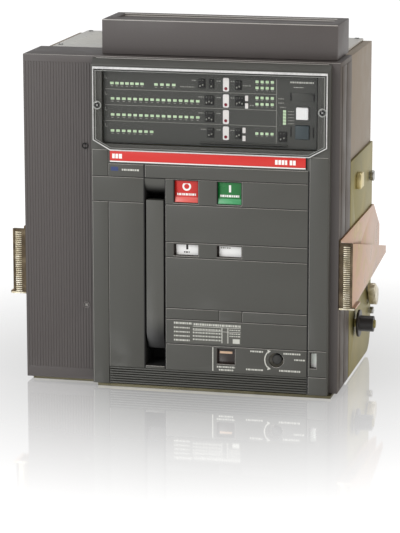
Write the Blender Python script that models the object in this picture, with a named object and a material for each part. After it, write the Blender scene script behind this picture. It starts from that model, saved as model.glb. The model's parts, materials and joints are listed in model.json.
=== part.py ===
"""Air circuit breaker: the withdrawable moving part of a four-pole low-voltage breaker.

Metres, +Z up, +X to the right of the operator, who stands at -Y. Every piece hangs on the empty
breaker_frame. In that frame X is 0 at the body's middle, Y is 0 on the front plane of the casing and
grows towards the back, and Z is 0 on the underside of the casing. The empty itself puts the middle of
the bounding box over the world origin and the underside of the base plate on Z = 0.
"""

import math

import bmesh
import bpy
from mathutils import Matrix, Vector

# Overall sizes
BODY_WIDTH = 0.386
BODY_HEIGHT = 0.398
BODY_DEPTH = 0.241
CASING_DEPTH = 0.076
BASE_HEIGHT = 0.004
BASE_SHEET = 0.002
POLES = 4

# Fits and walls
GAP = 0.0003
PLAY = 0.0005
WALL = 0.003
SHEET = 0.0027
ROUND = 24

# Front cover, measured from the casing's edges
RIBBED_WIDTH = 0.0875
RIGHT_MARGIN = 0.010
COVER_PROUD = 0.012
COVER_TOP_DROP = 0.008
LEFT_PILLAR = 0.0205
RIGHT_PILLAR = 0.0241
SHOULDER_RISE = 0.0065

# Trip unit, measured down from the top of the cover
TRIP_SIDE = 0.0135
TRIP_TOP = 0.0073
TRIP_HEIGHT = 0.0874
TRIP_FACE_SUNK = 0.007
TRIP_DEPTH = 0.060
TRIP_COVER_INSET = 0.0025
TRIP_COVER_THICK = 0.0025
TRIP_COVER_SIDE_HEIGHT = 0.087
TRIP_COVER_HEIGHT = 0.1001
TRIP_COVER_CORNER = 0.021
TRIP_SCREW_INSET = 0.0083
TRIP_SCREW_DROP = 0.0487
TRIP_SCREW_HEAD = 0.0035
TRIP_SCREW_SHANK = 0.0015
SCREW_HEAD_HEIGHT = 0.0015
TEST_BUTTON = 0.0145
TEST_BUTTON_RIGHT = 0.0261
TEST_BUTTON_TOP = 0.0446
TEST_BUTTON_PROUD = 0.003
TEST_BUTTON_STROKE = 0.0015
PLUG_SIZE = 0.0165
PLUG_RIGHT = 0.0222
PLUG_TOP = 0.066
PLUG_DEPTH = 0.008

# Colour strip under the trip unit
STRIP_TOP = 0.1031
STRIP_HEIGHT = 0.0133
STRIP_THICK = 0.0009

# Push buttons, measured from the left edge and down from the top of the cover
BUTTON_WIDTH = 0.0295
BUTTON_HEIGHT = 0.027
BUTTON_TOP = 0.136
BUTTON_SUNK = 0.003
OFF_BUTTON_LEFT = 0.1013
ON_BUTTON_LEFT = 0.1540
FLANGE = 0.002
STEM_RADIUS = 0.004
STEM_LENGTH = 0.015

# Indicator windows and their flags
WINDOW_WIDTH = 0.030
WINDOW_HEIGHT = 0.0145
WINDOW_TOP = 0.213
FLAG_THICK = 0.0012
FLAG_BEHIND = 0.003
FLAG_MARGIN = 0.003
FLAG_TRAVEL = 0.015

# Charging lever and its pocket
LEVER_X = 0.0776
LEVER_WIDTH = 0.0211
LEVER_SIDE_GAP = 0.0019
LEVER_TOP_DROP = 0.1613
LEVER_THICK = 0.010
LEVER_PIVOT_DEPTH = 0.008
LEVER_PIVOT_HEIGHT = 0.052
LEVER_HUB = 0.011
LEVER_AXLE = 0.004
POCKET_TOP = 0.1354
POCKET_BOTTOM = 0.0254
POCKET_DEPTH = 0.030
POCKET_WALL = 0.0025

# Lower grille
GRILLE_HEIGHT = 0.021
GRILLE_SLATS = 6
GRILLE_THICK = 0.006

# Racking gear
CRANK_RIGHT = 0.0619
CRANK_HEIGHT = 0.0405
CRANK_HOLE = 0.009
RACKING_SCREW_RADIUS = 0.006
CRANK_SOCKET = 0.0038
CRANK_SOCKET_DEPTH = 0.030
WORM_RADIUS = 0.009
RACKING_SHAFT_FROM_BACK = 0.016
RACKING_SHAFT_HEIGHT = 0.072
RACKING_SHAFT_RADIUS = 0.006
RACKING_GEAR = 0.020
CAM_RADIUS = 0.026
CAM_HUB = 0.012
CAM_THICK = 0.009
RACKING_FLAG_RIGHT = 0.0169
RACKING_WINDOW_WIDTH = 0.008
RACKING_WINDOW_HEIGHT = 0.0192
RACKING_WINDOW_BOTTOM = 0.0326
RACKING_FLAG_TRAVEL = 0.016
LOCK_LEFT = 0.1544
LOCK_BOTTOM = 0.0324
LOCK_WIDTH = 0.0214
LOCK_HEIGHT = 0.0184

# Side plates, rollers and support brackets
SIDE_PLATE_TOP = 0.268
SIDE_PLATE_CORNER = 0.027
ROLLER_Y = 0.121
ROLLER_HEIGHT = 0.0594
ROLLER_PIN = 0.005
ROLLER_RADIUS = 0.0098
ROLLER_FLANGE = 0.01685
ROLLER_FLANGE_THICK = 0.003
ROLLER_OUT = 0.026
BRACKET_THICK = 0.0022
BRACKET_OUT = 0.0167
BRACKET_LIP = 0.0203
BRACKET_BOTTOM = 0.103
BRACKET_TOP = 0.187
BRACKET_BEHIND = 0.048
BOLT_Y = 0.130
BOLT_HEIGHT = 0.150
BOLT_HEAD = 0.007
BOLT_SHANK = 0.003

# Poles
SIDE_ALLOWANCE = 0.013
CELL_WALL = 0.008
CASE_WALL = 0.006
CASE_CLEARANCE = 0.004
CHUTE_FLANGE = 0.003
CHUTE_CLEARANCE = 0.006
TERMINAL_THICK = 0.012
UPPER_TERMINAL_DROP = 0.098
LOWER_TERMINAL_RISE = 0.030
CONTACT_FROM_BACK = 0.054
LOWER_TERMINAL_FRONT = 0.091
SENSOR_WALL = 0.008
SENSOR_SIDE_GAP = 0.004
SENSOR_RISE = 0.022
SENSOR_THICK = 0.024
SENSOR_FROM_BACK = 0.027
JAW_LENGTH = 0.041
JAW_HALF_HEIGHT = 0.019
JAW_SLOT = 0.012
JAW_SLOT_DEPTH = 0.030
POLE_SHAFT_RADIUS = 0.009
POLE_SHAFT_BEHIND_CASE = 0.038
POLE_SHAFT_RISE = 0.055
ARM_WIDTH = 0.030
ARM_TIP = 0.009
ARM_TIP_DEPTH = 0.016
ARM_COLLAR = 0.015
SHAFT_LEVER_X = 0.014
SHAFT_LEVER_THICK = 0.006
SHAFT_LEVER_LENGTH = 0.038

# Spring mechanism behind the front cover
MECHANISM_LEFT = 0.0275
MECHANISM_RIGHT = 0.0950
MECHANISM_BOTTOM = 0.060
MECHANISM_DEPTH = 0.030
MECHANISM_TO_BACK = 0.006
CAMSHAFT_HEIGHT = 0.150
CAMSHAFT_RADIUS = 0.006
CAMSHAFT_CAM = 0.011
SPRING_RADIUS = 0.009
SPRING_BORE = 0.006
MOTOR_RADIUS = 0.018
MOTOR_LENGTH = 0.050
RELEASE_SIZE = 0.026
RELEASE_DROP = 0.040

# Sliding contact block on top
BLOCK_LEFT = 0.0062
BLOCK_RIGHT = 0.0068
BLOCK_FRONT = 0.017
BLOCK_BEHIND_CASING = 0.017
BLOCK_HEIGHT = 0.042
BLOCK_RECESS = 0.003

CASING_SCREW_LEFT = 0.0110
CASING_SCREW_RADIUS = 0.004
CASING_SCREW_SHANK = 0.002
CASING_SCREW_DROP = 0.1087
CASING_SCREW_HEIGHT = 0.0937

# Places worked out from the sizes above
HALF_WIDTH = BODY_WIDTH / 2
COVER_LEFT = -HALF_WIDTH + RIBBED_WIDTH
COVER_RIGHT = HALF_WIDTH - RIGHT_MARGIN
COVER_TOP = BODY_HEIGHT - COVER_TOP_DROP
COVER_FACE = -COVER_PROUD
COVER_INSIDE = COVER_FACE + WALL
TRIP_LEFT = COVER_LEFT + TRIP_SIDE
TRIP_RIGHT = COVER_RIGHT - TRIP_SIDE - 0.0015
TRIP_FACE = COVER_FACE + TRIP_FACE_SUNK
TRIP_UNIT_TOP = COVER_TOP - TRIP_TOP
TRIP_UNIT_BOTTOM = TRIP_UNIT_TOP - TRIP_HEIGHT
LEVER_MIDDLE = COVER_LEFT + LEVER_X
POCKET_HALF = LEVER_WIDTH / 2 + LEVER_SIDE_GAP
LEVER_TOP = COVER_TOP - LEVER_TOP_DROP
CRANK_X = COVER_RIGHT - CRANK_RIGHT
RACKING_SHAFT_Y = BODY_DEPTH - RACKING_SHAFT_FROM_BACK
CASE_FRONT = CASING_DEPTH + CASE_CLEARANCE
CASE_BOTTOM = RACKING_SHAFT_HEIGHT + RACKING_GEAR + 0.008
CASE_TOP = BODY_HEIGHT - CHUTE_FLANGE - GAP
CASE_HALF = HALF_WIDTH - SHEET - GAP
POLE_PITCH = (BODY_WIDTH - 2 * SIDE_ALLOWANCE) / POLES
CELL_WIDTH = POLE_PITCH - CELL_WALL
CELL_FRONT = CASE_FRONT + CASE_WALL
CELL_BACK = BODY_DEPTH - CASE_WALL
TERMINAL_WIDTH = CELL_WIDTH - 2 * (SENSOR_SIDE_GAP + SENSOR_WALL + 2 * PLAY)
LOWER_TERMINAL = CASE_BOTTOM + LOWER_TERMINAL_RISE
UPPER_TERMINAL = BODY_HEIGHT - UPPER_TERMINAL_DROP
CONTACT_FACE = BODY_DEPTH - CONTACT_FROM_BACK
JAW_FRONT = BODY_DEPTH + 0.0035
JAW_BACK = JAW_FRONT + JAW_LENGTH
POLE_SHAFT_Y = CASE_FRONT + POLE_SHAFT_BEHIND_CASE
POLE_SHAFT_Z = LOWER_TERMINAL + POLE_SHAFT_RISE
ARM_REACH_Y = CONTACT_FACE - GAP - POLE_SHAFT_Y
ARM_REACH_Z = UPPER_TERMINAL - POLE_SHAFT_Z
CHUTE_BOTTOM = POLE_SHAFT_Z + math.hypot(ARM_REACH_Y, ARM_REACH_Z + ARM_TIP) + CHUTE_CLEARANCE
MECHANISM_BACK = CASING_DEPTH - MECHANISM_TO_BACK
MECHANISM_FRONT = MECHANISM_BACK - MECHANISM_DEPTH
CAMSHAFT_Y = MECHANISM_FRONT + MECHANISM_DEPTH / 2
MECHANISM_TOP = TRIP_UNIT_BOTTOM - 0.012
FRONTMOST = COVER_FACE - GAP - TRIP_COVER_THICK - GAP - SCREW_HEAD_HEIGHT
REARMOST = BODY_DEPTH + BRACKET_BEHIND
POLE_XS = [(i - (POLES - 1) / 2) * POLE_PITCH for i in range(POLES)]


def clear_scene():
    for obj in list(bpy.data.objects):
        bpy.data.objects.remove(obj)


def new_collection(name):
    collection = bpy.data.collections.new(name)
    bpy.context.scene.collection.children.link(collection)
    return collection


def new_frame():
    """The empty that carries every piece."""
    frame = bpy.data.objects.new("breaker_frame", None)
    frame.location = (0, -(FRONTMOST + REARMOST) / 2, BASE_HEIGHT)
    PARTS.objects.link(frame)
    return frame


def material(name, colour, roughness, metallic=0.0):
    made = bpy.data.materials.new(name)
    made.use_nodes = True
    shader = made.node_tree.nodes["Principled BSDF"]
    shader.inputs["Base Color"].default_value = (*colour, 1)
    shader.inputs["Roughness"].default_value = roughness
    shader.inputs["Metallic"].default_value = metallic
    return made


clear_scene()
PARTS = new_collection("air_circuit_breaker")
CUTTERS = new_collection("cutters")
FRAME = new_frame()

COVER_GREY = material("cover moulding", (0.10, 0.10, 0.088), 0.5)
CASING_GREY = material("casing moulding", (0.115, 0.105, 0.10), 0.55)
DARK_PLASTIC = material("dark plastic", (0.02, 0.02, 0.02), 0.45)
CLEAR_PLASTIC = material("clear cover", (0.30, 0.33, 0.28), 0.1)
RED_PLASTIC = material("red plastic", (0.72, 0.05, 0.03), 0.35)
GREEN_PLASTIC = material("green plastic", (0.01, 0.24, 0.06), 0.35)
WHITE_PLASTIC = material("white plastic", (0.8, 0.8, 0.78), 0.4)
BLUE_GREY_PLASTIC = material("blue grey plastic", (0.22, 0.28, 0.36), 0.4)
BEIGE_RESIN = material("insulating resin", (0.36, 0.30, 0.23), 0.6)
YELLOW_ZINC = material("yellow zinc steel", (0.36, 0.30, 0.10), 0.4, 0.9)
STEEL = material("steel", (0.5, 0.5, 0.5), 0.35, 1.0)
COPPER = material("copper", (0.80, 0.42, 0.25), 0.3, 1.0)


# Pieces and cutters are both made by the three shape functions below. Coordinates are those of the
# breaker frame; a piece that turns or slides takes a point on its joint's axis as its origin.


def add_object(name, mesh, origin, surface):
    obj = bpy.data.objects.new(name, mesh)
    obj.location = origin
    obj.parent = FRAME
    if surface is None:
        CUTTERS.objects.link(obj)
        obj.hide_render = True
        obj.display_type = "WIRE"
    else:
        PARTS.objects.link(obj)
        mesh.materials.append(surface)
    return obj


def block(x, y, z, name="tool", surface=None, origin=(0, 0, 0)):
    """A box between two X, two Y and two Z values."""
    lows = Vector((x[0], y[0], z[0]))
    highs = Vector((x[1], y[1], z[1]))
    shape = bmesh.new()
    size = Matrix.Diagonal((*(highs - lows), 1))
    bmesh.ops.create_cube(shape, size=1, matrix=Matrix.Translation((lows + highs) / 2 - Vector(origin)) @ size)
    mesh = bpy.data.meshes.new(name)
    shape.to_mesh(mesh)
    shape.free()
    return add_object(name, mesh, origin, surface)


TURN_TO_AXIS = {
    "X": Matrix(((0, 0, 1, 0), (1, 0, 0, 0), (0, 1, 0, 0), (0, 0, 0, 1))),
    "Y": Matrix(((0, 1, 0, 0), (0, 0, 1, 0), (1, 0, 0, 0), (0, 0, 0, 1))),
    "Z": Matrix.Identity(4),
}


def axis_matrix(axis, at, middle):
    """Turns local Z onto an axis and moves it to the pair of cross coordinates `at`, in X, Y, Z order."""
    place = list(at)
    place.insert("XYZ".index(axis), middle)
    return Matrix.Translation(Vector(place)) @ TURN_TO_AXIS[axis]


def rod(axis, at, span, radius, name="tool", surface=None, origin=(0, 0, 0), sides=ROUND):
    """A round bar along an axis, from span[0] to span[1]."""
    shape = bmesh.new()
    place = Matrix.Translation(-Vector(origin)) @ axis_matrix(axis, at, sum(span) / 2)
    length = span[1] - span[0]
    bmesh.ops.create_cone(
        shape, cap_ends=True, segments=sides, radius1=radius, radius2=radius, depth=length, matrix=place
    )
    mesh = bpy.data.meshes.new(name)
    shape.to_mesh(mesh)
    shape.free()
    mesh.shade_smooth()
    mesh.set_sharp_from_angle(angle=math.radians(40))
    return add_object(name, mesh, origin, surface)


def plate(axis, outline, span, name="tool", surface=None, origin=(0, 0, 0)):
    """A flat outline, given in the two cross coordinates in X, Y, Z order, thickened along an axis."""
    curve = bpy.data.curves.new(name, "CURVE")
    curve.dimensions = "2D"
    curve.fill_mode = "BOTH"
    curve.extrude = (span[1] - span[0]) / 2
    spline = curve.splines.new("POLY")
    spline.points.add(len(outline) - 1)
    for point, corner in zip(spline.points, outline):
        along = corner if axis != "Y" else (corner[1], corner[0])
        point.co = (*along, 0, 1)
    spline.use_cyclic_u = True
    drawn = bpy.data.objects.new(name, curve)
    PARTS.objects.link(drawn)
    graph = bpy.context.evaluated_depsgraph_get()
    mesh = bpy.data.meshes.new_from_object(drawn.evaluated_get(graph))
    bpy.data.objects.remove(drawn)
    shape = bmesh.new()
    shape.from_mesh(mesh)
    bmesh.ops.remove_doubles(shape, verts=shape.verts, dist=1e-6)
    place = Matrix.Translation(-Vector(origin)) @ axis_matrix(axis, (0, 0), sum(span) / 2)
    bmesh.ops.transform(shape, matrix=place, verts=shape.verts)
    bmesh.ops.recalc_face_normals(shape, faces=shape.faces)
    shape.to_mesh(mesh)
    shape.free()
    return add_object(name, mesh, origin, surface)


def combine(obj, operation, tools):
    for tool in tools:
        step = obj.modifiers.new(operation.lower(), "BOOLEAN")
        step.operation = operation
        step.object = tool
        step.solver = "EXACT"
    return obj


def cut(obj, *tools):
    return combine(obj, "DIFFERENCE", tools)


def join(obj, *tools):
    return combine(obj, "UNION", tools)


def around(middle, half):
    return (middle - half, middle + half)


def grown(span, by):
    return (span[0] - by, span[1] + by)


# Spans shared by the pieces that fit each other

TRIP_SPAN_X = (TRIP_LEFT, TRIP_RIGHT)
TRIP_SPAN_Z = (TRIP_UNIT_BOTTOM, TRIP_UNIT_TOP)
OFF_SPAN_X = (COVER_LEFT + OFF_BUTTON_LEFT, COVER_LEFT + OFF_BUTTON_LEFT + BUTTON_WIDTH)
ON_SPAN_X = (COVER_LEFT + ON_BUTTON_LEFT, COVER_LEFT + ON_BUTTON_LEFT + BUTTON_WIDTH)
BUTTON_SPAN_Z = (COVER_TOP - BUTTON_TOP - BUTTON_HEIGHT, COVER_TOP - BUTTON_TOP)
WINDOW_SPAN_Z = (COVER_TOP - WINDOW_TOP - WINDOW_HEIGHT, COVER_TOP - WINDOW_TOP)
LOCK_SPAN_X = (COVER_LEFT + LOCK_LEFT, COVER_LEFT + LOCK_LEFT + LOCK_WIDTH)
LOCK_SPAN_Z = (LOCK_BOTTOM, LOCK_BOTTOM + LOCK_HEIGHT)
RACKING_WINDOW_X = around(COVER_RIGHT - RACKING_FLAG_RIGHT, RACKING_WINDOW_WIDTH / 2)
RACKING_WINDOW_Z = (RACKING_WINDOW_BOTTOM, RACKING_WINDOW_BOTTOM + RACKING_WINDOW_HEIGHT)
GRILLE_SPAN_X = (COVER_LEFT + LEFT_PILLAR, COVER_RIGHT - RIGHT_PILLAR)
POCKET_SPAN_X = around(LEVER_MIDDLE, POCKET_HALF)
POCKET_SPAN_Z = (POCKET_BOTTOM, COVER_TOP - POCKET_TOP)
LEVER_AXLE_SPAN = grown(POCKET_SPAN_X, POCKET_WALL + 0.002)
LEVER_PIVOT = (LEVER_MIDDLE, LEVER_PIVOT_DEPTH, LEVER_PIVOT_HEIGHT)
TEST_SPAN_X = (TRIP_RIGHT - TEST_BUTTON_RIGHT, TRIP_RIGHT - TEST_BUTTON_RIGHT + TEST_BUTTON)
TEST_SPAN_Z = (COVER_TOP - TEST_BUTTON_TOP - TEST_BUTTON, COVER_TOP - TEST_BUTTON_TOP)
PLUG_SPAN_X = (TRIP_RIGHT - PLUG_RIGHT - 0.0050, TRIP_RIGHT - PLUG_RIGHT - 0.0050 + PLUG_SIZE)
PLUG_SPAN_Z = (COVER_TOP - PLUG_TOP - PLUG_SIZE, COVER_TOP - PLUG_TOP)
TRIP_SCREW_Z = COVER_TOP - TRIP_SCREW_DROP
TRIP_SCREW_XS = {"left": COVER_LEFT + TRIP_SCREW_INSET, "right": COVER_RIGHT - TRIP_SCREW_INSET}
CASING_SCREW_X = COVER_LEFT - CASING_SCREW_LEFT
CASING_SCREW_ZS = {"upper": BODY_HEIGHT - CASING_SCREW_DROP, "lower": CASING_SCREW_HEIGHT}
TERMINAL_ZS = {"upper": UPPER_TERMINAL, "lower": LOWER_TERMINAL}
SLOT_X = (SHAFT_LEVER_X - SHAFT_LEVER_THICK / 2 - 0.002, SHAFT_LEVER_X + SHAFT_LEVER_THICK / 2 + 0.002)


def base_plate():
    """A shallow steel tray with a bearing block for the racking screw."""
    half = HALF_WIDTH - 0.006
    front_lip = COVER_FACE + 0.002
    outline = [
        (COVER_LEFT + 0.005, front_lip), (half, front_lip), (half, BODY_DEPTH - 0.002),
        (-half, BODY_DEPTH - 0.002), (-half, 0.006), (COVER_LEFT + 0.005, 0.006),
    ]
    tray = plate("Z", outline, (-BASE_HEIGHT, -GAP), "base_plate", YELLOW_ZINC)
    inner = block(around(0, half - 0.006), (0.014, BODY_DEPTH - 0.010), (-BASE_HEIGHT + BASE_SHEET, 0.01))
    bearing = block(around(CRANK_X, 0.012), (0.150, 0.162), (-BASE_HEIGHT + 0.001, CRANK_HEIGHT + 0.014))
    bore = rod("Y", (CRANK_X, CRANK_HEIGHT), (0.14, 0.17), RACKING_SCREW_RADIUS + PLAY)
    return cut(join(cut(tray, inner), bearing), bore)


def side_outline():
    """The side plate seen from the side, with its lower rear corner rounded."""
    back = BODY_DEPTH - 0.001
    centre = (back - SIDE_PLATE_CORNER, SIDE_PLATE_CORNER)
    turn = [math.radians(-90 + 15 * step) for step in range(7)]
    corner = [(centre[0] + SIDE_PLATE_CORNER * math.cos(a), centre[1] + SIDE_PLATE_CORNER * math.sin(a)) for a in turn]
    return [(CASE_FRONT, 0), *corner, (back, SIDE_PLATE_TOP), (CASE_FRONT, SIDE_PLATE_TOP)]


def side_plate(name, side):
    """A steel side wall with the pin that its roller turns on."""
    span = sorted((side * (HALF_WIDTH - SHEET), side * HALF_WIDTH))
    wall = plate("X", side_outline(), span, name, YELLOW_ZINC)
    pin_span = sorted((side * (HALF_WIDTH - SHEET / 2), side * (HALF_WIDTH + ROLLER_OUT)))
    pin = rod("X", (ROLLER_Y, ROLLER_HEIGHT), pin_span, ROLLER_PIN)
    through = sorted((side * (HALF_WIDTH - 0.01), side * (HALF_WIDTH + 0.01)))
    shaft_hole = rod("X", (RACKING_SHAFT_Y, RACKING_SHAFT_HEIGHT), through, RACKING_SHAFT_RADIUS + PLAY)
    bolt_hole = rod("X", (BOLT_Y, BOLT_HEIGHT), through, BOLT_SHANK + GAP)
    return cut(join(wall, pin), shaft_hole, bolt_hole)


def side_roller(name, side):
    """A flanged roller on the side plate's pin."""
    inner = HALF_WIDTH + 0.004
    origin = (side * inner, ROLLER_Y, ROLLER_HEIGHT)
    at = (ROLLER_Y, ROLLER_HEIGHT)
    flange = sorted((side * inner, side * (inner + ROLLER_FLANGE_THICK)))
    tread = sorted((side * (inner + ROLLER_FLANGE_THICK / 2), side * (HALF_WIDTH + ROLLER_OUT - 0.002)))
    wheel = rod("X", at, flange, ROLLER_FLANGE, name, DARK_PLASTIC, origin)
    bore = rod("X", at, sorted((side * HALF_WIDTH, side * (HALF_WIDTH + 0.05))), ROLLER_PIN + PLAY)
    return cut(join(wheel, rod("X", at, tread, ROLLER_RADIUS)), bore)


def support_bracket(name, side):
    """A folded steel bracket: a long base against the side, a front flange and a tapered outer web."""
    near = HALF_WIDTH + GAP
    back = REARMOST

    def sided(low, high):
        return sorted((side * low, side * high))

    base_outline = [
        (0.002, BRACKET_BOTTOM), (BODY_DEPTH - 0.041, BRACKET_BOTTOM + 0.006), (back, BRACKET_BOTTOM + 0.022),
        (back, BRACKET_TOP - 0.035), (BODY_DEPTH, BRACKET_TOP), (0.002, BRACKET_TOP),
    ]
    web_outline = [
        (0.002, BRACKET_BOTTOM), (BODY_DEPTH + 0.014, BRACKET_BOTTOM + 0.019),
        (BODY_DEPTH + 0.014, BRACKET_BOTTOM + 0.028), (0.002, BRACKET_TOP - 0.003),
    ]
    base = plate("X", base_outline, sided(near, near + BRACKET_THICK), name, YELLOW_ZINC)
    web_near = HALF_WIDTH + BRACKET_OUT - BRACKET_THICK
    web = plate("X", web_outline, sided(web_near, HALF_WIDTH + BRACKET_OUT))
    flange_x = sided(near + BRACKET_THICK / 2, HALF_WIDTH + BRACKET_OUT - BRACKET_THICK / 2)
    flange = block(flange_x, (0.003, 0.006), (BRACKET_BOTTOM + 0.0004, BRACKET_TOP - 0.0034))
    lip_x = sided(HALF_WIDTH + BRACKET_OUT - BRACKET_THICK / 2, HALF_WIDTH + BRACKET_LIP)
    lip = block(lip_x, (0.003, 0.0395), (BRACKET_BOTTOM + 0.0006, BRACKET_BOTTOM + 0.003))
    hole = rod("X", (BOLT_Y, BOLT_HEIGHT), sided(HALF_WIDTH - 0.002, near + BRACKET_THICK + 0.002), BOLT_SHANK + GAP)
    return cut(join(base, flange, web, lip), hole)


def bracket_bolt(name, side):
    """The bolt that clamps a bracket to its side plate."""
    at = (BOLT_Y, BOLT_HEIGHT)
    seat = HALF_WIDTH + BRACKET_THICK + 2 * GAP
    head = sorted((side * seat, side * (seat + 0.005)))
    shank = sorted((side * (HALF_WIDTH - SHEET), side * (seat + 0.002)))
    bolt = rod("X", at, head, BOLT_HEAD, name, STEEL, sides=6)
    return join(bolt, rod("X", at, shank, BOLT_SHANK, sides=12))


def front_casing():
    """The moulded front shell, open at the back, with the opening that the front cover closes."""
    outer = block(around(0, HALF_WIDTH), (0, CASING_DEPTH), (0, BODY_HEIGHT), "front_casing", CASING_GREY)
    inner = block(around(0, HALF_WIDTH - WALL), (WALL, CASING_DEPTH + 0.01), (WALL, BODY_HEIGHT - WALL))
    opening = block((COVER_LEFT + 0.005, COVER_RIGHT - 0.005), (-0.01, 0.02), (0.005, COVER_TOP - 0.0045))
    holes = [
        rod("Y", (CASING_SCREW_X, z), (-0.01, 0.01), CASING_SCREW_SHANK + GAP, sides=12)
        for z in CASING_SCREW_ZS.values()
    ]
    return cut(outer, inner, opening, *holes)


def casing_screw(name, z):
    at = (CASING_SCREW_X, z)
    head = rod("Y", at, (-0.0013, -GAP), CASING_SCREW_RADIUS, name, DARK_PLASTIC, sides=16)
    return join(head, rod("Y", at, (-0.001, 0.009), CASING_SCREW_SHANK, sides=12))


def front_cover():
    """The proud front cover: a shallow tray with the lever's pocket and an opening for every control."""
    sides_outline = [(COVER_FACE, 0), (-GAP, 0), (-GAP, COVER_TOP + SHOULDER_RISE), (COVER_FACE, COVER_TOP)]
    cover = plate("X", sides_outline, (COVER_LEFT, COVER_RIGHT), "front_cover", COVER_GREY)
    hollow = block((COVER_LEFT + WALL, COVER_RIGHT - WALL), (COVER_INSIDE, 0.01), (WALL, COVER_TOP - WALL))
    pocket_shell = block(
        grown(POCKET_SPAN_X, POCKET_WALL),
        (COVER_INSIDE - WALL / 2, POCKET_DEPTH + POCKET_WALL),
        grown(POCKET_SPAN_Z, POCKET_WALL),
    )
    through = (COVER_FACE - 0.01, COVER_INSIDE + 0.001)
    pocket = block(POCKET_SPAN_X, (COVER_FACE - 0.01, POCKET_DEPTH), POCKET_SPAN_Z)
    axle_hole = rod("X", (LEVER_PIVOT_DEPTH, LEVER_PIVOT_HEIGHT), grown(LEVER_AXLE_SPAN, 0.002), LEVER_AXLE + PLAY)
    openings = [
        block(grown(TRIP_SPAN_X, PLAY), through, grown(TRIP_SPAN_Z, PLAY)),
        block(grown(OFF_SPAN_X, PLAY), through, grown(BUTTON_SPAN_Z, PLAY)),
        block(grown(ON_SPAN_X, PLAY), through, grown(BUTTON_SPAN_Z, PLAY)),
        block(OFF_SPAN_X, through, WINDOW_SPAN_Z),
        block(ON_SPAN_X, through, WINDOW_SPAN_Z),
        block(grown(LOCK_SPAN_X, PLAY), through, grown(LOCK_SPAN_Z, PLAY)),
        block(RACKING_WINDOW_X, through, RACKING_WINDOW_Z),
        block(grown(GRILLE_SPAN_X, GAP), (COVER_FACE - 0.01, COVER_FACE + 0.007), (-0.01, GRILLE_HEIGHT + GAP)),
        rod("Y", (CRANK_X, CRANK_HEIGHT), through, CRANK_HOLE),
    ]
    screw_holes = [
        rod("Y", (x, TRIP_SCREW_Z), through, TRIP_SCREW_SHANK + GAP, sides=12) for x in TRIP_SCREW_XS.values()
    ]
    return cut(join(cut(cover, hollow), pocket_shell), pocket, axle_hole, *openings, *screw_holes)


def lower_grille():
    """Horizontal slats between two end blocks, at the foot of the cover."""
    y = (COVER_FACE + 0.0005, COVER_FACE + 0.0005 + GRILLE_THICK)
    grille = block(GRILLE_SPAN_X, y, (0, GRILLE_HEIGHT), "lower_grille", COVER_GREY)
    pitch = GRILLE_HEIGHT / (GRILLE_SLATS + 0.5)
    slot_x = grown(GRILLE_SPAN_X, -0.004)
    slots = [
        block(slot_x, (y[0] - 0.01, y[1] + 0.01), (pitch * (i + 0.5), pitch * (i + 1))) for i in range(GRILLE_SLATS)
    ]
    return cut(grille, *slots)


def colour_strip():
    y = (COVER_FACE - GAP - STRIP_THICK, COVER_FACE - GAP)
    z = (COVER_TOP - STRIP_TOP - STRIP_HEIGHT, COVER_TOP - STRIP_TOP)
    return block((GRILLE_SPAN_X[0] + 0.0025, GRILLE_SPAN_X[1] - 0.0039), y, z, "colour_strip", RED_PLASTIC)


def trip_unit():
    """The electronic protection unit, with pockets for its test button and its rating plug."""
    y = (TRIP_FACE, TRIP_FACE + TRIP_DEPTH)
    unit = block(TRIP_SPAN_X, y, TRIP_SPAN_Z, "trip_unit", DARK_PLASTIC)
    button_pocket = block(grown(TEST_SPAN_X, PLAY), (TRIP_FACE - 0.01, TRIP_FACE + 0.006), grown(TEST_SPAN_Z, PLAY))
    plug_pocket = block(
        grown(PLUG_SPAN_X, GAP), (TRIP_FACE - 0.01, TRIP_FACE + PLUG_DEPTH + GAP), grown(PLUG_SPAN_Z, GAP)
    )
    return cut(unit, button_pocket, plug_pocket)


def test_button():
    y = (TRIP_FACE - TEST_BUTTON_PROUD, TRIP_FACE + 0.006 - TEST_BUTTON_STROKE - PLAY)
    origin = (sum(TEST_SPAN_X) / 2, y[0], sum(TEST_SPAN_Z) / 2)
    return block(TEST_SPAN_X, y, TEST_SPAN_Z, "test_button", WHITE_PLASTIC, origin)


def rating_plug():
    y = (TRIP_FACE - 0.002, TRIP_FACE + PLUG_DEPTH)
    return block(PLUG_SPAN_X, y, PLUG_SPAN_Z, "rating_plug", BLUE_GREY_PLASTIC)


def trip_cover():
    """The clear cover over the trip unit, with its two lower corners cut off."""
    left = COVER_LEFT + TRIP_COVER_INSET
    right = COVER_RIGHT - TRIP_COVER_INSET
    top = COVER_TOP - TRIP_COVER_INSET
    side_bottom = top - TRIP_COVER_SIDE_HEIGHT
    bottom = top - TRIP_COVER_HEIGHT
    outline = [
        (left, top), (right, top), (right, side_bottom), (right - TRIP_COVER_CORNER, bottom),
        (left + TRIP_COVER_CORNER, bottom), (left, side_bottom),
    ]
    y = (COVER_FACE - GAP - TRIP_COVER_THICK, COVER_FACE - GAP)
    pane = plate("Y", outline, y, "trip_cover", CLEAR_PLASTIC)
    holes = [
        rod("Y", (x, TRIP_SCREW_Z), grown(y, 0.005), TRIP_SCREW_SHANK + GAP, sides=12) for x in TRIP_SCREW_XS.values()
    ]
    return cut(pane, *holes)


def trip_cover_screw(name, x):
    seat = COVER_FACE - 2 * GAP - TRIP_COVER_THICK
    head = rod("Y", (x, TRIP_SCREW_Z), (seat - SCREW_HEAD_HEIGHT, seat), TRIP_SCREW_HEAD, name, STEEL, sides=16)
    return join(head, rod("Y", (x, TRIP_SCREW_Z), (seat - 0.001, COVER_INSIDE + 0.002), TRIP_SCREW_SHANK, sides=12))


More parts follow.
